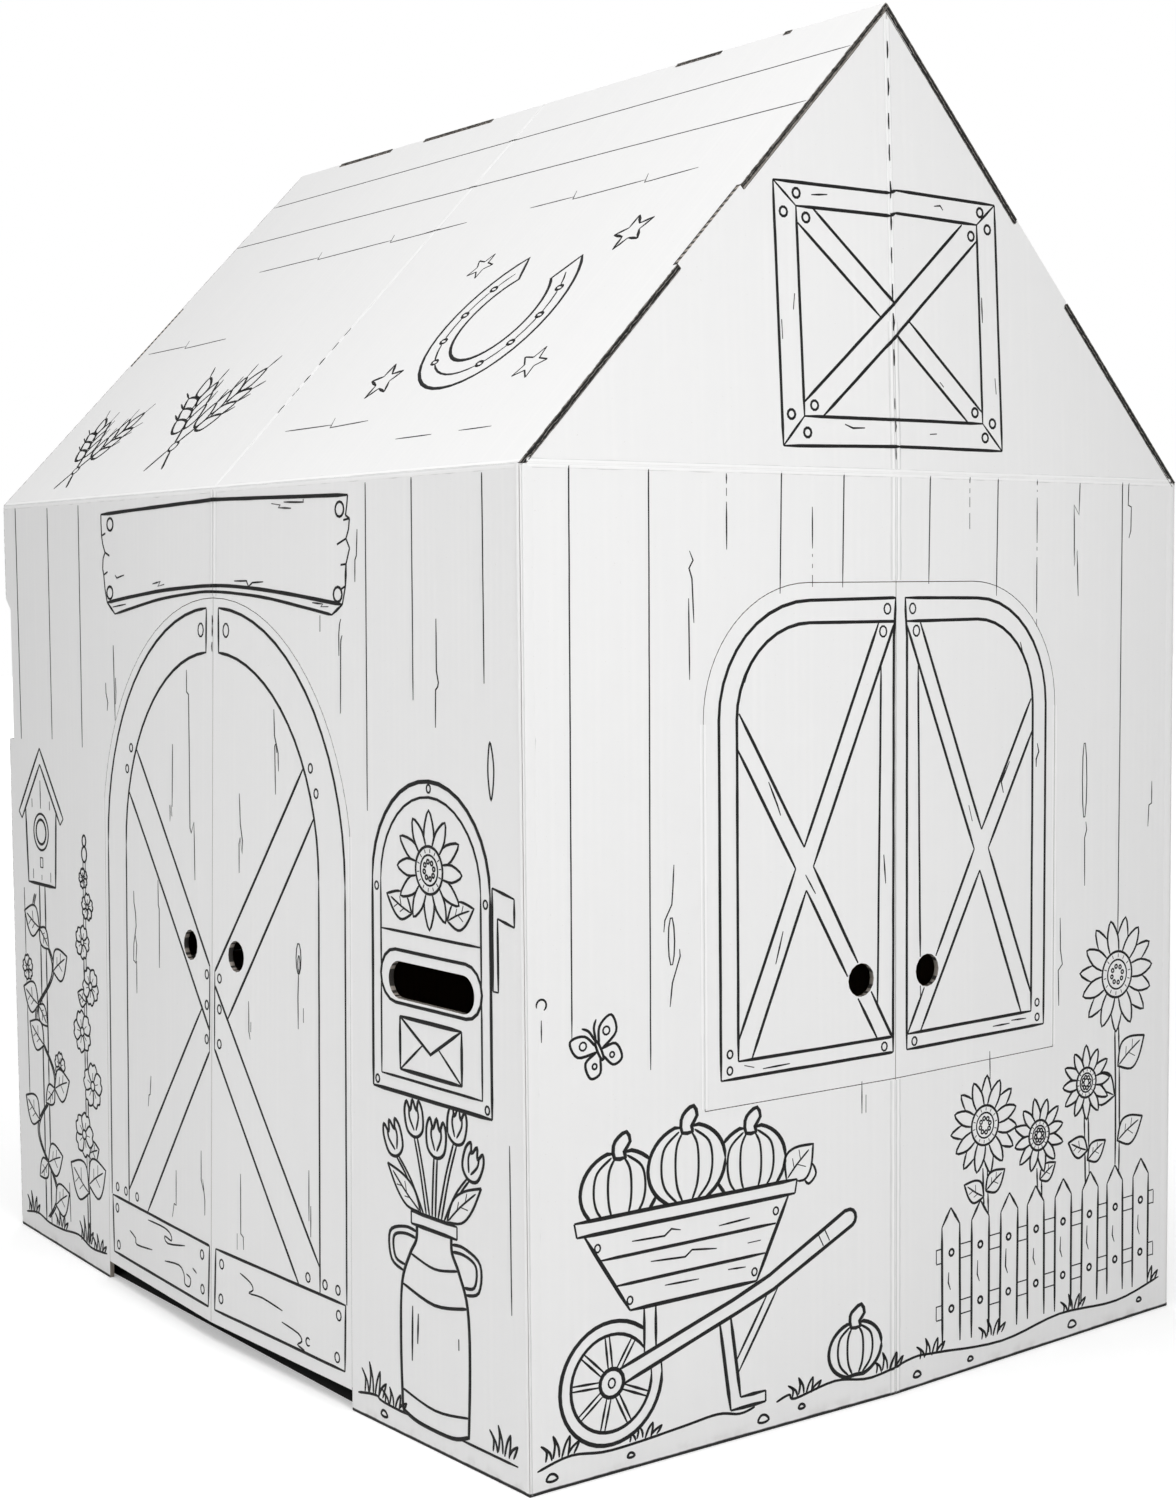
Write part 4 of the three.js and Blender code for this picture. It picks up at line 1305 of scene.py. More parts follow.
# %% [markdown]
# ### A horseshoe and wheat on the roof
#
# The horseshoe hangs open end up, for luck. It is an arc that closes in a little at its ends,
# with a groove and its nail holes. The other half of the roof has two crossed pairs of wheat
# ears. The roof is seen at a flat angle, so its lines are drawn thicker.


# %% The roof's drawings
def horseshoe(sheet, u, v, size, degrees=0.0):
    """A horseshoe with its open end up, before it is turned."""
    def shoe(radius, first=126, last=414):
        turns = [math.radians(first + (last - first) * k / 32) for k in range(33)]
        return [(radius * math.cos(t) * (1 - 0.06 * math.sin(t)), radius * math.sin(t) * 1.12)
                for t in turns]

    for k in (3, 6, 9, 12, 20, 23, 26, 29):
        spot = turned([shoe(size * 0.81)[k]], degrees, u, v)[0]
        shape(sheet, turned(oval(0, 0, 4, 2.6), degrees, *spot), BOLD)
    draw(sheet, turned(shoe(size * 0.81, 134, 406), degrees, u, v), MEDIUM)
    outline = shoe(size) + shoe(size * 0.62)[::-1]
    shape(sheet, turned(outline, degrees, u, v), 3.2)


def wheat(sheet, u, v, size, degrees):
    """An ear of wheat on its stalk: grains in pairs, each with a beard."""
    grains = [(along, side) for along in (0.44, 0.57, 0.7) for side in (1, -1)] + [(0.82, 0)]
    for along, side in grains:
        spot = turned([(along * size, side * 0.02 * size)], degrees, u, v)[0]
        grain = curve((0, 0), (0.07, 0.06), (0.16, 0.045), (0.23, 0), (0.16, -0.045),
                      (0.07, -0.06), closed=True, per_span=3)
        draw(sheet, turned([(0.24, 0), (0.36, 0)], degrees + side * 30, *spot, size), BOLD)
        shape(sheet, turned(grain, degrees + side * 30, *spot, size), HEAVY)
    draw(sheet, turned(curve((0, 0), (0.22, 0.012), (0.46, 0)), degrees, u, v, size), HEAVY)


def wheat_pair(sheet, u, v, size):
    """Two ears of wheat, crossed and tied."""
    shape(sheet, oval(u, v + size * 0.22, size * 0.045), BOLD)
    for way in (1, -1):
        wheat(sheet, u - way * size * 0.13, v, size, 90 - way * 30)


for sheet, hand in (("door_roof", 1), ("back_roof", -1)):
    horseshoe(sheet, hand * 236, 168, 70, hand * -8)
    star(sheet, hand * 138, 108, 20, 12)
    star(sheet, hand * 336, 104, 17, -10)
    star(sheet, hand * 326, 244, 20, 20)
    star(sheet, hand * 140, 238, 15, -18)
    wheat_pair(sheet, hand * -150, 30, 132)
    wheat_pair(sheet, hand * -322, 18, 104)
print("roof strokes:", len(print_chains["door_roof"]))

# %% The back wall's drawings
for u in (-386, -358, 344, 378):
    tuft("back_wall", u, 19, 20)
fence("back_wall", -326, 20)
for u, v, size in ((-206, 236, 46), (-276, 196, 34), (-142, 182, 32)):
    sunflower("back_wall", u, v, size, turn=u % 13)
    leaf("back_wall", u, 150, 30, 30, 0.42)
    leaf("back_wall", u, 142, 28, 150, 0.42)
    stem("back_wall", [(u, v - size * 0.9), (u + 2, 110), (u, 24)])
horseshoe("back_wall", 210, 420, 56)
star("back_wall", 120, 470, 18, 8)
star("back_wall", 300, 462, 16, -12)
butterfly("back_wall", 70, 236, 22, -20)
butterfly("back_wall", -330, 330, 20, 18)
draw("back_wall", curve((-408, 15), (-300, 20), (-150, 15), (0, 21), (160, 16), (300, 21),
                        (408, 16)), MEDIUM)
print("back wall strokes:", len(print_chains["back_wall"]))

# %% [markdown]
# ## Holes and slits
#
# No ink runs over the finger holes. Some folds are cut through in short slits instead of
# being pressed, so that they bend more easily: the peak of the gables, the top of the doors
# and a stretch of each roof fold.

# %% Finger holes and slits
HOLE_RADIUS, HOLE_HEIGHT, DOOR_HOLE, SHUTTER_HOLE = 13.2, 319, 39, 34
for leaves, away in (("door", DOOR_HOLE), ("near_shutter", SHUTTER_HOLE),
                     ("far_shutter", SHUTTER_HOLE)):
    for hand, word in SIDES:
        in_front(f"{leaves}_{word}", oval(hand * away, HOLE_HEIGHT, HOLE_RADIUS))
fold_slits = {}


def slit_row(sheet, u, start, end, pitch, length, wide):
    """A row of slits along an upright fold."""
    count = int((end - start) / pitch)
    for k in range(count):
        low = start + k * pitch + 1.5 * math.sin(k * 2.3)
        bend = 0.5 * math.sin(k * 1.7 + u)
        slit = [(u, low), (u + bend, low + length / 2), (u, low + length * (1 + 0.1 * bend))]
        fold_slits.setdefault(sheet, []).append((slit, wide, False))


for sheet in ("near_gable", "far_gable"):
    slit_row(sheet, 0, 768, PEAK, 24.5, 12, 1.5)
    slit_row(sheet, 0, 700, 764, 19, 8, 0.9)
for sheet in ("door_roof", "back_roof"):
    slit_row(sheet, 0, 86, 214, 18.5, 9, 1.2)
slit_row("door_left", -1.4, 560, ARCH_TOP - 2, 11, 8, 1.6)
print("slits:", {sheet: len(slits) for sheet, slits in fold_slits.items()})

# %% [markdown]
# ## The doors
#
# Each leaf shows a curved frame around the arch, a kick board at the foot and one half of a
# big cross brace. The two leaves aren't quite mirror images: on each of them the other member
# of the cross lies on top. Most of the nails are mirrored.

# %% The door leaves
FRAME_OUT, FRAME_IN = (201, 204), (164, 168.5)
ARCH_FOOT = 391
KICK_FOOT, KICK_TOP = 26.5, 77


def leaf_frame(sheet, hand, gap):
    """The curved frame of one leaf; hand is 1 for the right one, which ends a gap from u 0."""
    outlines = []
    for wide, tall in (FRAME_OUT, FRAME_IN):
        last = math.degrees(math.acos(gap / wide))
        outlines.append([(wide, KICK_TOP + 0.5)]
                        + arc(0, ARCH_FOOT, wide, 0, last, tall, steps=16))
    for outline in outlines:
        outline = outline if hand > 0 else flip(outline)
        draw(sheet, outline[:2], MEDIUM)
        draw(sheet, outline[1:], BOLD)
    tops = [outline[-1][1] for outline in outlines]
    lines(sheet, [(hand * gap, tops[0] - 0.4), (hand * (gap + 0.5), tops[1] + 0.4)], BOLD)


leaf_frame("door_right", 1, 9)
leaf_frame("door_left", -1, 11.5)
each("door_right", BOLD, [(142, 474.5), (5, 303)], [(157.5, 438), (25.4, 266.6)],
     [(5, 291.4), (164, 97.2)], [(5, 239.5), (134.3, KICK_TOP)])
each("door_left", BOLD, [(-142, 474.5), (-4, 306)], [(-158, 438), (-4, 253.5)],
     [(-17.6, 270.2), (-164, 88.6)], [(-4, 236), (-125.4, KICK_TOP)])
draw("door_right", [(4.8, 303.5), (4.6, 238.5)], FINE)
draw("door_left", [(-3.8, 306.5), (-4, 236)], FINE)
for sheet, (top_in, top_out, foot_out, foot_in) in (("door_right", (7.5, 199.5, 198, 6)),
                                                    ("door_left", (-3, -199.5, -197.5, -5))):
    lines(sheet, [(top_in, KICK_TOP), (top_out, KICK_TOP), (foot_out, KICK_FOOT),
                  (foot_in, KICK_FOOT)], BOLD, closed=True)
for hand, word in SIDES:
    for radius, spots in ((5.5, ((21.5, 577),)), (3.5, ((152.5, 475), (160.6, 456.5))),
                          (3.6, ((147, 86), (171, 86), (189, 86))),
                          (3.8, ((17, 66.5), (16, 38), (190, 67), (187.5, 34.5)))):
        nails(f"door_{word}", radius, *((hand * u, v) for u, v in spots))
nails("door_right", 3.6, *((12.4, v) for v in (298, 273, 245)))
nails("door_left", 3.6, *((-9.2, v + 0.6) for v in (298, 273, 245)))
print("door strokes:", len(print_chains["door_left"]) + len(print_chains["door_right"]))

# %% Wood grain on the doors
each(
    "door_left", HAIR,
    [(-46.8, 544), (-46.4, 526), (-43, 524), (-41.5, 472), (-40.3, 415), (-38, 411), (-33, 420),
     (-31, 373)],
    [(-72.6, 482), (-73.4, 430)], [(-78, 431), (-77.5, 418), (-75.5, 431), (-73.8, 422)],
    [(-149.5, 352), (-149.1, 342), (-146, 333), (-145, 322), (-150, 306), (-150.5, 292),
     (-146, 290), (-144, 306), (-147, 314)], [(-144.5, 292), (-144.3, 264)],
    [(-101, 366), (-100.6, 345), (-98.8, 342), (-98.8, 292)],
    [(-116.7, 197), (-118.5, 181), (-121, 179.8), (-122.5, 170)],
    [(-67, 126), (-67.1, 96.4), (-71, 97), (-74.5, 85)],
    [(-19, 152), (-18.9, 128), (-15, 120), (-16, 129), (-12, 112), (-12, 100)])
each(
    "door_right", HAIR,
    [(98.1, 517.3), (99, 497), (104.5, 484), (105, 470)],
    [(100.5, 452), (99.4, 489), (101, 491), (102.5, 484)],
    [(44, 449), (45.5, 425), (49, 412), (48.6, 402), (45.2, 414), (43.6, 409), (43.8, 386)],
    [(134.5, 321), (133.5, 300), (134, 275)], [(141.5, 292), (141.5, 281)],
    [(59, 286), (59.4, 262), (61.5, 256)], [(62.5, 270), (62.3, 262)],
    [(46.5, 146), (47, 98), (51, 96), (51.5, 86)], [(41.5, 97), (41.5, 84)],
    [(148.8, 169), (148.7, 130)], [(151.4, 142), (151.2, 118)])
draw("door_right", oval(134.5, 329, 3.6, 12), HAIR, closed=True)
draw("door_right", oval(135, 325, 1.6, 6.5), HAIR, closed=True)
for sheet, marks in (
    ("door_left", [(-124.5, 71), (-91, 72), (-78, 69), (-77, 64), (-90, 65), (-84, 60),
                   (-50, 66)]),
    ("door_left", [(-163, 53), (-151, 49), (-148, 44), (-116, 47)]),
    ("door_left", [(-90, 43.6), (-62, 47), (-52, 42), (-50, 34), (-41, 34), (-39, 41), (-47, 43)]),
    ("door_left", [(-35, 51), (-27, 48.5)]),
    ("door_right", [(46, 66), (62, 62), (66, 57), (60, 53), (80, 54), (110, 51)]),
    ("door_right", [(109, 42), (133, 39), (138, 34), (132, 30), (142, 28)]),
):
    draw(sheet, curve(*marks, per_span=3), FINE)
draw("door_right", arc(147, 36, 3, 40, 320), FINE)
print("with grain:", len(print_chains["door_left"]) + len(print_chains["door_right"]))

# %% [markdown]
# ## The sign board over the doors
#
# It is an old plank with splintered ends, left blank for a child to write on. Its lower edge
# follows the arch and is drawn twice, which gives the board its thickness.

# %% The sign board
each("door_wall", HEAVY,
     curve((-198, 599), (-143.5, 604.5), (-76, 609.8), (-0.5, 612.5), (62, 610.3),
           (131, 604.6), (199, 597.5)),
     [(-209, 675.5), (-1, 681), (207, 677)])
each("door_wall", BOLD,
     curve((-182.5, 589), (-109, 600), (-53, 605.4), (-0.5, 607.7), (76, 603.6), (144, 595.4),
           (184, 590)),
     [(-198, 599), (-182.5, 589)], [(199, 597.5), (184, 590)])
lines("door_wall", [(-209, 675.5), (-209, 668.5), (-208, 657), (-206, 650), (-201.5, 642.5),
                    (-205.5, 637), (-206.5, 628.5), (-204.5, 623), (-202, 610), (-198, 599)],
      HEAVY)
lines("door_wall", [(207, 677), (206, 670), (204, 662.5), (209.5, 660), (208, 652),
                    (204.5, 645.5), (209.5, 638.5), (204.5, 627), (203.5, 611), (201.5, 605),
                    (199, 597.5)], HEAVY)
each("door_wall", HEAVY, [(-208, 657), (-200.5, 659)], [(-201.5, 642.5), (-193, 639.5)],
     [(-204.5, 623), (-197, 625.5)], [(209.5, 660), (201, 659)], [(204.5, 645.5), (192, 641.5)],
     [(204.5, 627), (197, 626.5)], [(203.5, 611), (196.5, 608.5)])
each("door_wall", FINE, [(94.5, 674.5), (108, 673), (105.5, 671), (124.5, 670)],
     [(113.5, 675), (143, 674), (143, 676.5)], [(-181.5, 622.5), (-178, 620), (-164, 622.5)],
     [(-109, 614.5), (-94.5, 616.5), (-99, 612.5), (-87.5, 614)],
     [(35, 616), (55, 616), (58, 611.5), (64.5, 614.5), (81.5, 615)],
     [(156, 599), (171, 598), (168.5, 596), (179, 596)], [(-187, 595), (-161, 597.5)])
for u, v in ((-191, 666.5), (-192.5, 607.5), (195.5, 667), (192.5, 605)):
    draw("door_wall", oval(u, v, 6, 5.5), MEDIUM, closed=True)
print("sign strokes:", len(print_chains["door_wall"]))

# %% [markdown]
# ## Planks
#
# The walls are drawn as upright planks. Their lines are thin, most of them stop somewhere on
# the way down, and short grain marks stand between them. Some are broken into dashes.

# %% Planks of the door wall
def dashes(sheet, u, top, pattern, nib_width=HAIR):
    """A broken upright line; the pattern is its dash and gap lengths in turn."""
    v = top
    for i, length in enumerate(pattern):
        if i % 2 == 0:
            draw(sheet, [(u, v), (u, v - length)], nib_width)
        v -= length


for u, top, foot in ((231.5, 685, 449), (292.5, 686, 531), (379.5, 685.5, 545),
                     (-395.5, 687, 471), (-323, 685, 474), (-256, 685, 470),
                     (404, 236, 120), (-300, 66, 30), (-396, 330, 120)):
    draw("door_wall", [(u, top), (u + (0.6 if u > 0 else 1.5), foot)], HAIR)
each("door_wall", HAIR,
     [(322.6, 588), (322.7, 552), (325, 544), (324, 541), (321.5, 539), (321, 513)],
     [(220, 652), (219, 633), (217, 630), (216.7, 614)],
     [(167, 589.5), (167, 577.5)], [(196.8, 587), (195, 583), (194, 576), (194, 560)],
     [(198.6, 575), (197, 572), (196.5, 568), (195.8, 518)],
     [(-186.9, 562), (-186, 540), (-184.2, 497)], [(-183, 534), (-182, 522), (-183, 511)],
     [(-203, 529), (-202.5, 520), (-199, 512), (-200.3, 505)])
draw("door_wall", curve((386, 506), (390.4, 488), (387, 467), (383.4, 486), closed=True), FINE,
     closed=True)
print("door wall strokes with planks:", len(print_chains["door_wall"]))

# %% Planks of the gables
gable_planks = ((-291, 689, 306.5), (-225.5, 688, 277), (-109, 689, 603), (-50.5, 689, 607),
                (36.5, 689, 609), (112, 689, 599.5), (262, 689, 323))
gable_dashes = ((-158.5, 686.5, (7, 3, 5.5, 4, 33)), (-80.5, 664.5, (29.5, 4, 2, 5, 3, 5, 8.5)),
                (80, 689, (4.5, 4, 3.5, 3, 7.5, 4.5, 12)),
                (157.5, 689, (4.5, 3.5, 1.5, 4.5, 35, 3, 3, 5, 43, 5, 6)))
gable_grain = (
    [(-191, 633), (-188, 626.5), (-191.5, 621), (-189, 614), (-187.5, 583.5)],
    [(-192, 600.5), (-191.5, 544.5)],
    [(-206, 417.5), (-207, 401.5), (-208, 390), (-214, 379.5), (-215, 371.5)],
    [(-201.5, 358.5), (-201, 353.5), (-208, 335.5), (-210, 319)],
    [(219, 418), (220, 411.5), (217.5, 405), (218, 366.5)],
    [(188, 343.5), (188.5, 318), (191, 306), (186, 301.5), (187, 273)],
    [(303, 445.5), (303, 427.5), (299.5, 426), (298.5, 408.5)],
    [(209, 687.5), (208, 662.5), (202, 670), (202.5, 622), (206, 634.5), (207.5, 598.5)],
    [(270, 688.5), (269.5, 671), (273.5, 669.5), (273, 650.5), (270.5, 644.5)],
    [(-33.5, 243.5), (-33.5, 219.5)], [(-29.5, 233), (-29.5, 219.5)],
    [(105, 247.5), (105.5, 225.5)], [(-317, 322), (-317, 307)],
)
for end in GABLES:
    sheet = f"{end}_gable"
    each(sheet, HAIR, *([(u, top), (u - 1.5, foot)] for u, top, foot in gable_planks))
    for u, top, pattern in gable_dashes:
        dashes(sheet, u, top, pattern)
    each(sheet, HAIR, *gable_grain)
    draw(sheet, oval(-208.5, 364.5, 2.7, 17), HAIR, closed=True)
    draw(sheet, oval(217, 451.5, 2.7, 31), HAIR, closed=True)
    draw(sheet, arc(-317, 332, 4, -60, 200), FINE)
print("gable strokes with planks:", len(print_chains["near_gable"]))

# %% Planks of the back wall, and of the roof
for u in (-382, -322, -262, -196, -134, -70, 62, 128, 190, 258, 318, 384):
    foot = 30 + (u * 37) % 260
    middle = foot + 90 + (u * 53) % 130
    each("back_wall", HAIR, [(u, 687), (u + 1, middle + 28)], [(u + 1, middle), (u + 1.5, foot)])
for u, v in ((-350, 520), (-226, 410), (-160, 250), (-30, 540), (94, 470), (222, 330), (350, 560)):
    draw("back_wall", [(u, v), (u + 0.5, v - 38), (u + 4, v - 46), (u + 1, v - 52),
                       (u + 1.5, v - 96)], HAIR)
for u, v in ((-292, 300), (30, 600), (288, 480)):
    draw("back_wall", oval(u, v, 3.4, 10), HAIR, closed=True)
for sheet, hand in (("door_roof", 1), ("back_roof", -1)):
    for v, *stations in ((424, -421, 421), (363, -421, 421), (308, 138, 195, 285, 347),
                         (308, -307, -197, -72, 46), (206, -402, -325, -245), (61, 42, 112, 166),
                         (37, 232, 278), (39, 312, 351)):
        draw(sheet, [(hand * stations[0], v), (hand * stations[1], v + 1)], HAIR)
        each(sheet, HAIR, *([(hand * (start - 3), v + 9), (hand * (start + 2), v - 2),
                             (hand * end, v + 1)]
                            for start, end in zip(stations[1:], stations[2:])))
print("back wall and roof strokes:", len(print_chains["back_wall"]),
      len(print_chains["door_roof"]))

# %% [markdown]
# ## The shutters
#
# Both gable windows are closed by a pair of shutters. The frame has a rounded outer corner,
# and a long cross brace fills it. The right leaf's drawing is a little narrower.

# %% The shutters of both gables
CORNER, OUT_SIDE, IN_SIDE = (83, 515), 166, 150


def shutter(sheet, hand, gap, spread):
    """One shutter; hand is 1 for the right one, and spread widens the drawing from the fold."""
    def at(*points):
        return [(hand * (gap + spread * u), v) for u, v in points]

    for top, side, corners in ((599, OUT_SIDE, ((165.5, 261), (2.7, 261.3))),
                               (581.7, IN_SIDE, ((149.8, 273), (3.3, 273)))):
        outline = at((0.4, top), *arc(*CORNER, side - CORNER[0], 90, 0, steps=10), *corners)
        each(sheet, BOLD, outline[:-1], outline[-2:])
    draw(sheet, at((0.4, 599.6), (0.6, 590), (2.2, 570), (2.6, 261.3)), BOLD)
    draw(sheet, at((14.7, 549), (18.1, 298)), MEDIUM)
    each(sheet, BOLD, at((148, 519.4), (88.6, 421)), at((150, 495), (96.7, 406)),
         at((80, 406.5), (3.5, 273)), at((86.7, 389.7), (18, 273)),
         at((17.2, 580.6), (88.6, 421)), at((1.4, 580.4), (80, 406.5)),
         at((96.7, 406), (149.8, 287)), at((86.7, 389.7), (137.7, 273)))
    for radius, *spots in ((3.8, (8.5, 591)), (4, (12.7, 574.5)), (3.2, (11.3, 266.6)),
                           (2.9, (157.4, 279), (157.6, 267.3))):
        nails(sheet, radius, *at(*spots))


left_marks = (
    [(-143, 541), (-139.5, 551), (-133, 560.5)], [(-121.5, 470), (-113.5, 453), (-110.5, 445.5)],
    [(-87.5, 401), (-78, 386.5)], [(-108.5, 362), (-115.5, 339)], [(-12, 410), (-10, 388.5)],
    [(-144.5, 269.5), (-135.5, 267)], [(-127.5, 265), (-102.5, 265.5)],
)
right_marks = (
    [(138.5, 563.5), (141.5, 554), (147.5, 543)],
    [(159, 484), (161, 477.5), (158, 471.5), (158, 465.5)], [(80, 440.5), (84, 428)],
    [(126.5, 471.5), (117, 456), (119.5, 447.5)], [(108.5, 266.5), (128, 266.5)],
    [(130, 268.5), (147.5, 268)],
)
for end in GABLES:
    shutter(f"{end}_shutter_left", -1, 0, 1)
    shutter(f"{end}_shutter_right", 1, 9.5, 0.96)
    each(f"{end}_shutter_left", FINE, *left_marks)
    each(f"{end}_shutter_right", FINE, *right_marks)
print("strokes of a shutter:", len(print_chains["near_shutter_left"]))

# %% [markdown]
# ## The loft hatch in the gable triangle
#
# A square frame with mitred corners and a cross brace, crossed in the middle by the fold.

# %% The loft hatches
out = [(-110.5, 892.5), (-1, 893), (6, 895.5), (113.5, 895), (117, 709.5), (3, 709.5),
       (-106.5, 707)]
inn = [(-90, 876), (-1, 876.5), (5, 879), (93, 878.5), (95.5, 729.5), (-86.5, 728.5)]
brace = [(-87, 738), (76.5, 877), (93, 878.5), (93, 866.5), (-69, 729), (-86.5, 728.5)]
for end in GABLES:
    sheet = f"{end}_gable"
    lines(sheet, out, BOLD, closed=True)
    lines(sheet, inn, BOLD, closed=True)
    each(sheet, MEDIUM, *([out[k], inn[m]] for k, m in ((0, 0), (3, 3), (4, 4), (6, 5))))
    each(sheet, BOLD, brace[:2], brace[3:5])
    in_front(sheet, brace)
    each(sheet, BOLD, [(-89, 864.5), (80, 729)], [(-75.5, 876.5), (95, 738)])
    for u, v in ((-89.5, 885), (-101.5, 871), (-81, 868.5), (97, 888), (105, 876), (86.5, 869.5),
                 (-84, 717), (-98.5, 729.5), (-77, 736.5), (98, 719), (106.5, 730),
                 (87, 737.5)):
        draw_over(sheet, oval(u, v, 3.4), MEDIUM, closed=True)
    each(sheet, FINE, [(-75.5, 885), (-60.5, 886.5)], [(46.5, 888), (53, 889), (56, 886)],
         [(-93, 814.5), (-94.5, 803)], [(-105.5, 795.5), (-105, 782)],
         [(97, 824.5), (97.5, 805.5)], [(110.5, 764.5), (111.5, 752.5)],
         [(-48.5, 724), (-41, 721.5), (-29.5, 722)], [(37, 719.5), (44.5, 720)],
         [(-65.5, 749), (-61.5, 753.5)], [(49, 758.5), (53, 755)], [(30, 831.5), (43, 838)])
print("sheets with strokes:", {name: len(found) for name, found in print_chains.items()})

# %% [markdown]
# ## Printing
#
# Now the pen's tree runs once for each sheet, and its result is folded onto the wall. All the
# lines that ride on one body become one piece, and so a leaf takes its print along when it
# swings open.

# %% How high the print lies
MIDDLE_FOLDS = {"door_wall": [(ARCH_TOP, EAVES, whole_fold)],
                "back_wall": [(0, EAVES, whole_fold)]}
for sheet in ("door_roof", "back_roof"):
    MIDDLE_FOLDS[sheet] = [(0, TOP, slight_fold)]
for sheet in ("near_gable", "far_gable"):
    MIDDLE_FOLDS[sheet] = [(0, WINDOW_FOOT, whole_fold), (WINDOW_TOP, SLITS_FROM, whole_fold),
                           (SLITS_FROM, PEAK, slight_fold)]
BOWED = ("door_wall", "door_left", "door_right", "back_wall")
OVER_FOLD = 0.34 * MM
INK_TOP, INK_TOP_BOWED, INK_UNDER = 0.07 * MM, 0.24 * MM, -0.08 * MM


def climb(away, section_top):
    """How high a fold stands at a distance from its line."""
    places, heights = zip(*[(a * MM, max(0, up) * MM) for a, up in section_top])
    return np.interp(away, places, heights)


def print_height(sheet):
    """The print lies on the paper, and climbs over the folds that it crosses."""
    def height(u, v, h):
        lift = np.zeros_like(h)
        for low, high, section_top in MIDDLE_FOLDS.get(sheet, []):
            on_fold = (v > low * MM) & (v < high * MM) & (abs(u) < FOLD_STEPS[-1] * MM)
            lift += np.where(on_fold, climb(u, section_top) + OVER_FOLD, 0)
        if "gable" in sheet:
            lift += climb(v - eaves, slight_fold)
            lift += climb(half_width - abs(u), corner_slope[::-1])
        top = INK_TOP_BOWED if sheet in BOWED else INK_TOP
        return lift + np.where(h > 0, top, INK_UNDER)
    return height


print("middle folds:", {sheet: len(folds) for sheet, folds in MIDDLE_FOLDS.items()})


# %% The pen runs over every sheet
def run_pen(sheet, strokes, paint, family, slot):
    """Draws strokes on a sheet in one finish, and folds them onto the house."""
    body, place = sheets[sheet]
    mesh = grow(pen, flat_chains(f"{sheet}_flat", strokes), Ink=paint, Seed=float(len(sheet)))
    keep(family, body, folded(mesh, place, print_height(sheet)), paint, slot)


for sheet, strokes in print_chains.items():
    run_pen(sheet, strokes, ink, "print", "black_ink")
# The slits are drawn in the shadow finish: painted shade where the board is cut through
for sheet, slits in fold_slits.items():
    run_pen(sheet, slits, gap_shadow, "slits", "raw_edge")

for (family, body), (material, slot, meshes) in made.items():
    piece = joined(f"{body}_{family}", meshes, material)
    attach(piece, body)
    print(piece.name, len(piece.data.polygons), "faces")

# %% [markdown]
# ## The floor, the light and the camera
#
# The photograph was taken in a white studio: a large soft light stands to the left of the
# camera and above it, so the near gable gets darker to the right and the door wall gets darker
# away from the camera. A weaker light from the left keeps the door wall clear, and a wide one
# above lights the roof. A fourth one, behind the house, lights the walls that the photograph
# doesn't show. The floor is pale and glows for the camera alone, more so far from the house,
# so that only the soft shadow at the foot shows. Under the house it is painted nearly black,
# a painted shadow that doesn't glow, so the holes, the letter slot and the gap under the doors
# look dark. When the doors are open, it shows as a dark floor that isn't part of the house.

# %% The floor
FLOOR_REACH, FLOOR_GAP = 14.0, 0.3 * MM
floor_finish, floor_tree, floor_shader, spot, _ = finish("studio_floor")
floor_along = add(floor_tree, "ShaderNodeSeparateXYZ", {0: spot}).outputs
under_house = maths(floor_tree, "MULTIPLY",
                    maths(floor_tree, "COMPARE", floor_along[0], 0.0, half_width),
                    maths(floor_tree, "COMPARE", floor_along[1], 0.0, half_length))
seen = maths(floor_tree, "MULTIPLY",
             add(floor_tree, "ShaderNodeLightPath").outputs["Is Camera Ray"],
             maths(floor_tree, "SUBTRACT", 1.0, under_house))
from_house = add(floor_tree, "ShaderNodeVectorMath", {0: spot}, operation="LENGTH").outputs[1]
glow = weighted(floor_tree, 0.3, (between(floor_tree, from_house, 1.5, 6.0), 0.7))
# Under the house the floor's colour is a painted shadow, nearly black
plug(floor_tree, floor_shader, {
    "Base Color": blend(floor_tree, under_house, tone(0.80), tone(0.05)), "Roughness": 0.9,
    "Specular IOR Level": 0.0, "Emission Color": tone(1.0),
    "Emission Strength": maths(floor_tree, "MULTIPLY", seen, glow)})
floor_mesh = plain_mesh("studio_floor", [
    (x * FLOOR_REACH, y * FLOOR_REACH, cad_box[0].z - FLOOR_GAP)
    for x, y in ((-1, -1), (1, -1), (1, 1), (-1, 1))], faces=[(0, 1, 2, 3)])
floor_mesh.materials.append(floor_finish)
floor = linked("studio_floor", floor_mesh)
print("floor:", floor.name)

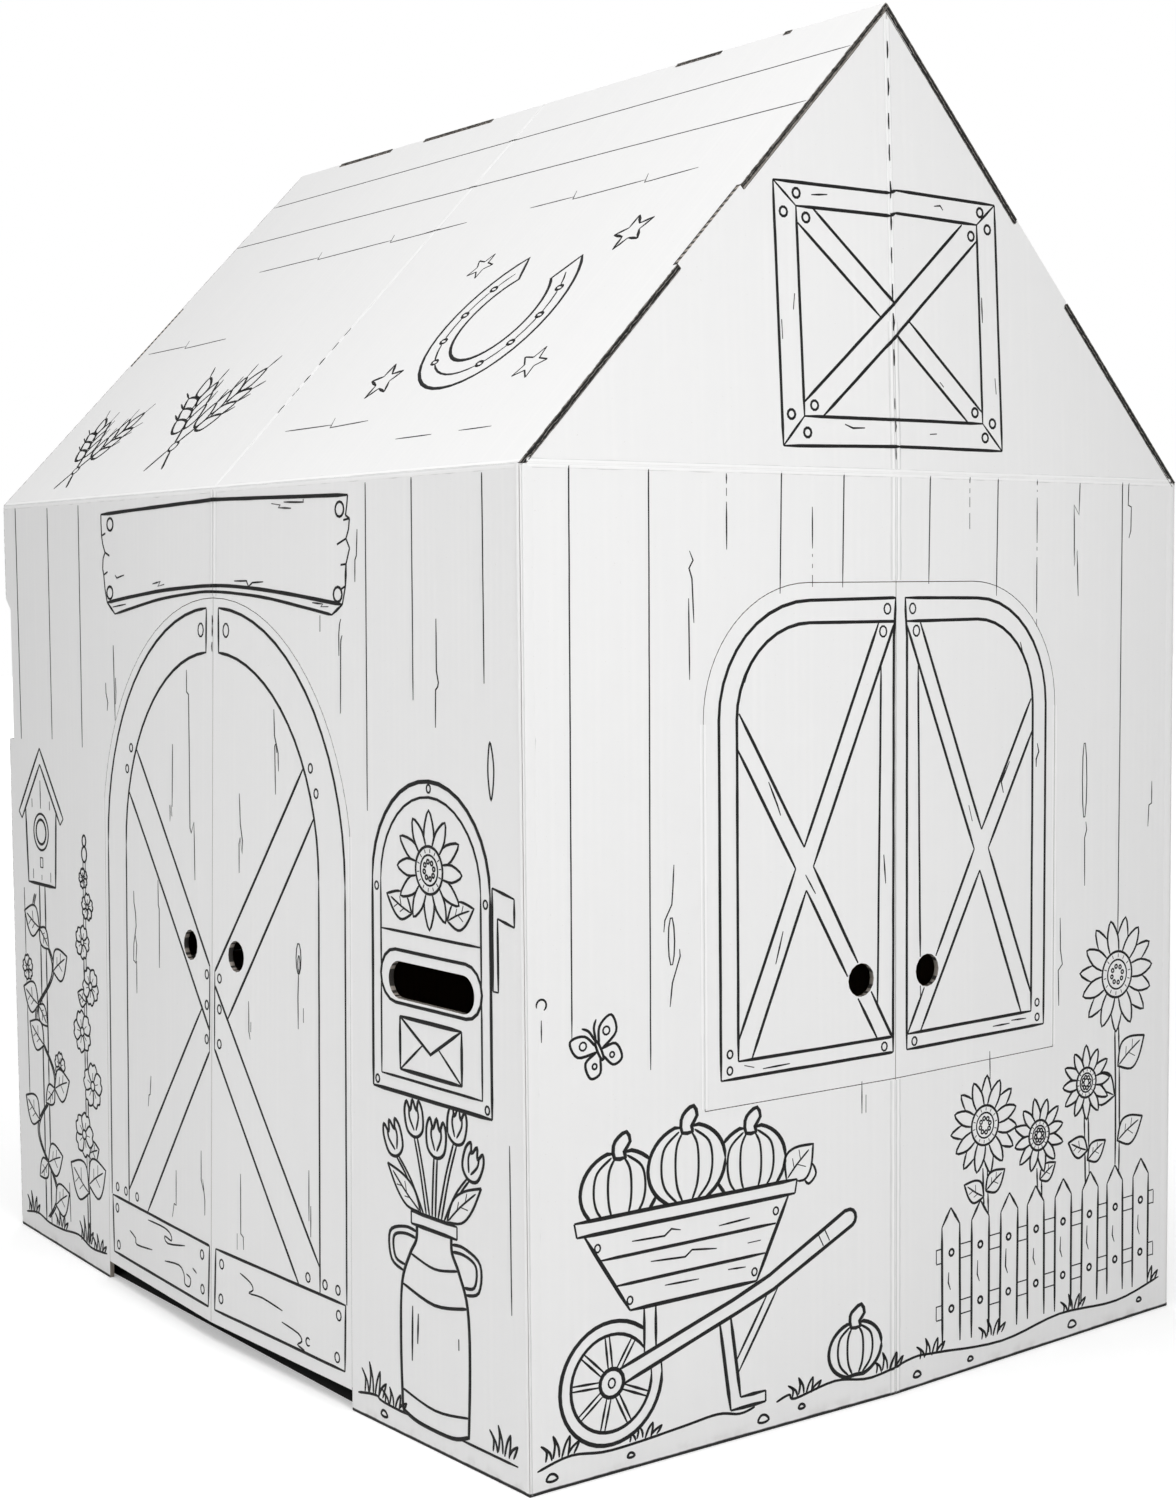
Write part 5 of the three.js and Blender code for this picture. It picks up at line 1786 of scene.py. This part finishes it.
# %% The white studio around it
SKY_LEVEL = 0.417
world = bpy.data.worlds.new("white_studio")
world.use_nodes = True
bpy.context.scene.world = world
sky_tree = world.node_tree
seen = add(sky_tree, "ShaderNodeLightPath").outputs["Is Camera Ray"]
plug(sky_tree, sky_tree.nodes["Background"], {
    "Color": (1, 1, 1, 1),
    "Strength": weighted(sky_tree, SKY_LEVEL, (seen, 1.0 - SKY_LEVEL))})
print("studio:", world.name)


# %% The lamps
def softbox(name, spot, aim, size, power):
    """A square lamp that looks from one point at another."""
    light = bpy.data.lights.new(name, "AREA")
    light.shape, light.size, light.energy = "SQUARE", size, power
    lamp = linked(name, light)
    lamp.location = spot
    lamp.visible_camera = False
    lamp.rotation_euler = (Vector(aim) - Vector(spot)).to_track_quat("-Z", "Y").to_euler()
    print(name, power, "W")


softbox("front_light", (-0.45, -1.7, 1.0), (-0.1, -0.42, 0.6), 0.5, 9.9)
softbox("left_light", (-1.5, -0.3, 0.8), (-0.33, -0.1, 0.4), 0.6, 4.3)
softbox("top_light", (-0.6, -0.3, 3.2), (-0.1, 0.0, 0.9), 2.0, 41.5)
softbox("back_light", (1.9, 2.6, 1.6), (0.2, 0.2, 0.5), 1.2, 30)

# %% The camera, at the photograph's own angle
YAW, PITCH, ROLL, LENS = 36.884, 4.091, -0.4932, 54.63
STAND = (-1.1880, -1.6379, 0.6087)
yaw, pitch, roll = math.radians(YAW), math.radians(PITCH), math.radians(ROLL)
forward = Vector((math.sin(yaw) * math.cos(pitch), math.cos(yaw) * math.cos(pitch),
                  -math.sin(pitch)))
right = Vector((math.cos(yaw), -math.sin(yaw), 0))
above = right.cross(forward)
turned_right = math.cos(roll) * right + math.sin(roll) * above
turned_up = math.cos(roll) * above - math.sin(roll) * right
view = Matrix((turned_right, turned_up, -forward)).transposed().to_4x4()
view.translation = Vector(STAND)
camera_data = bpy.data.cameras.new("camera")
camera_data.sensor_fit = "VERTICAL"
camera_data.sensor_height = 36
camera_data.lens = LENS
camera_data.clip_start, camera_data.clip_end = 0.05, 60
camera = linked("camera", camera_data)
camera.matrix_world = view
bpy.context.scene.camera = camera
bpy.context.scene.view_settings.view_transform = "Standard"
print("lens:", LENS, "mm")

# %% The size of the boards, printed at the end
print("cad box:", [tuple(round(c, 4) for c in corner) for corner in cad_box])
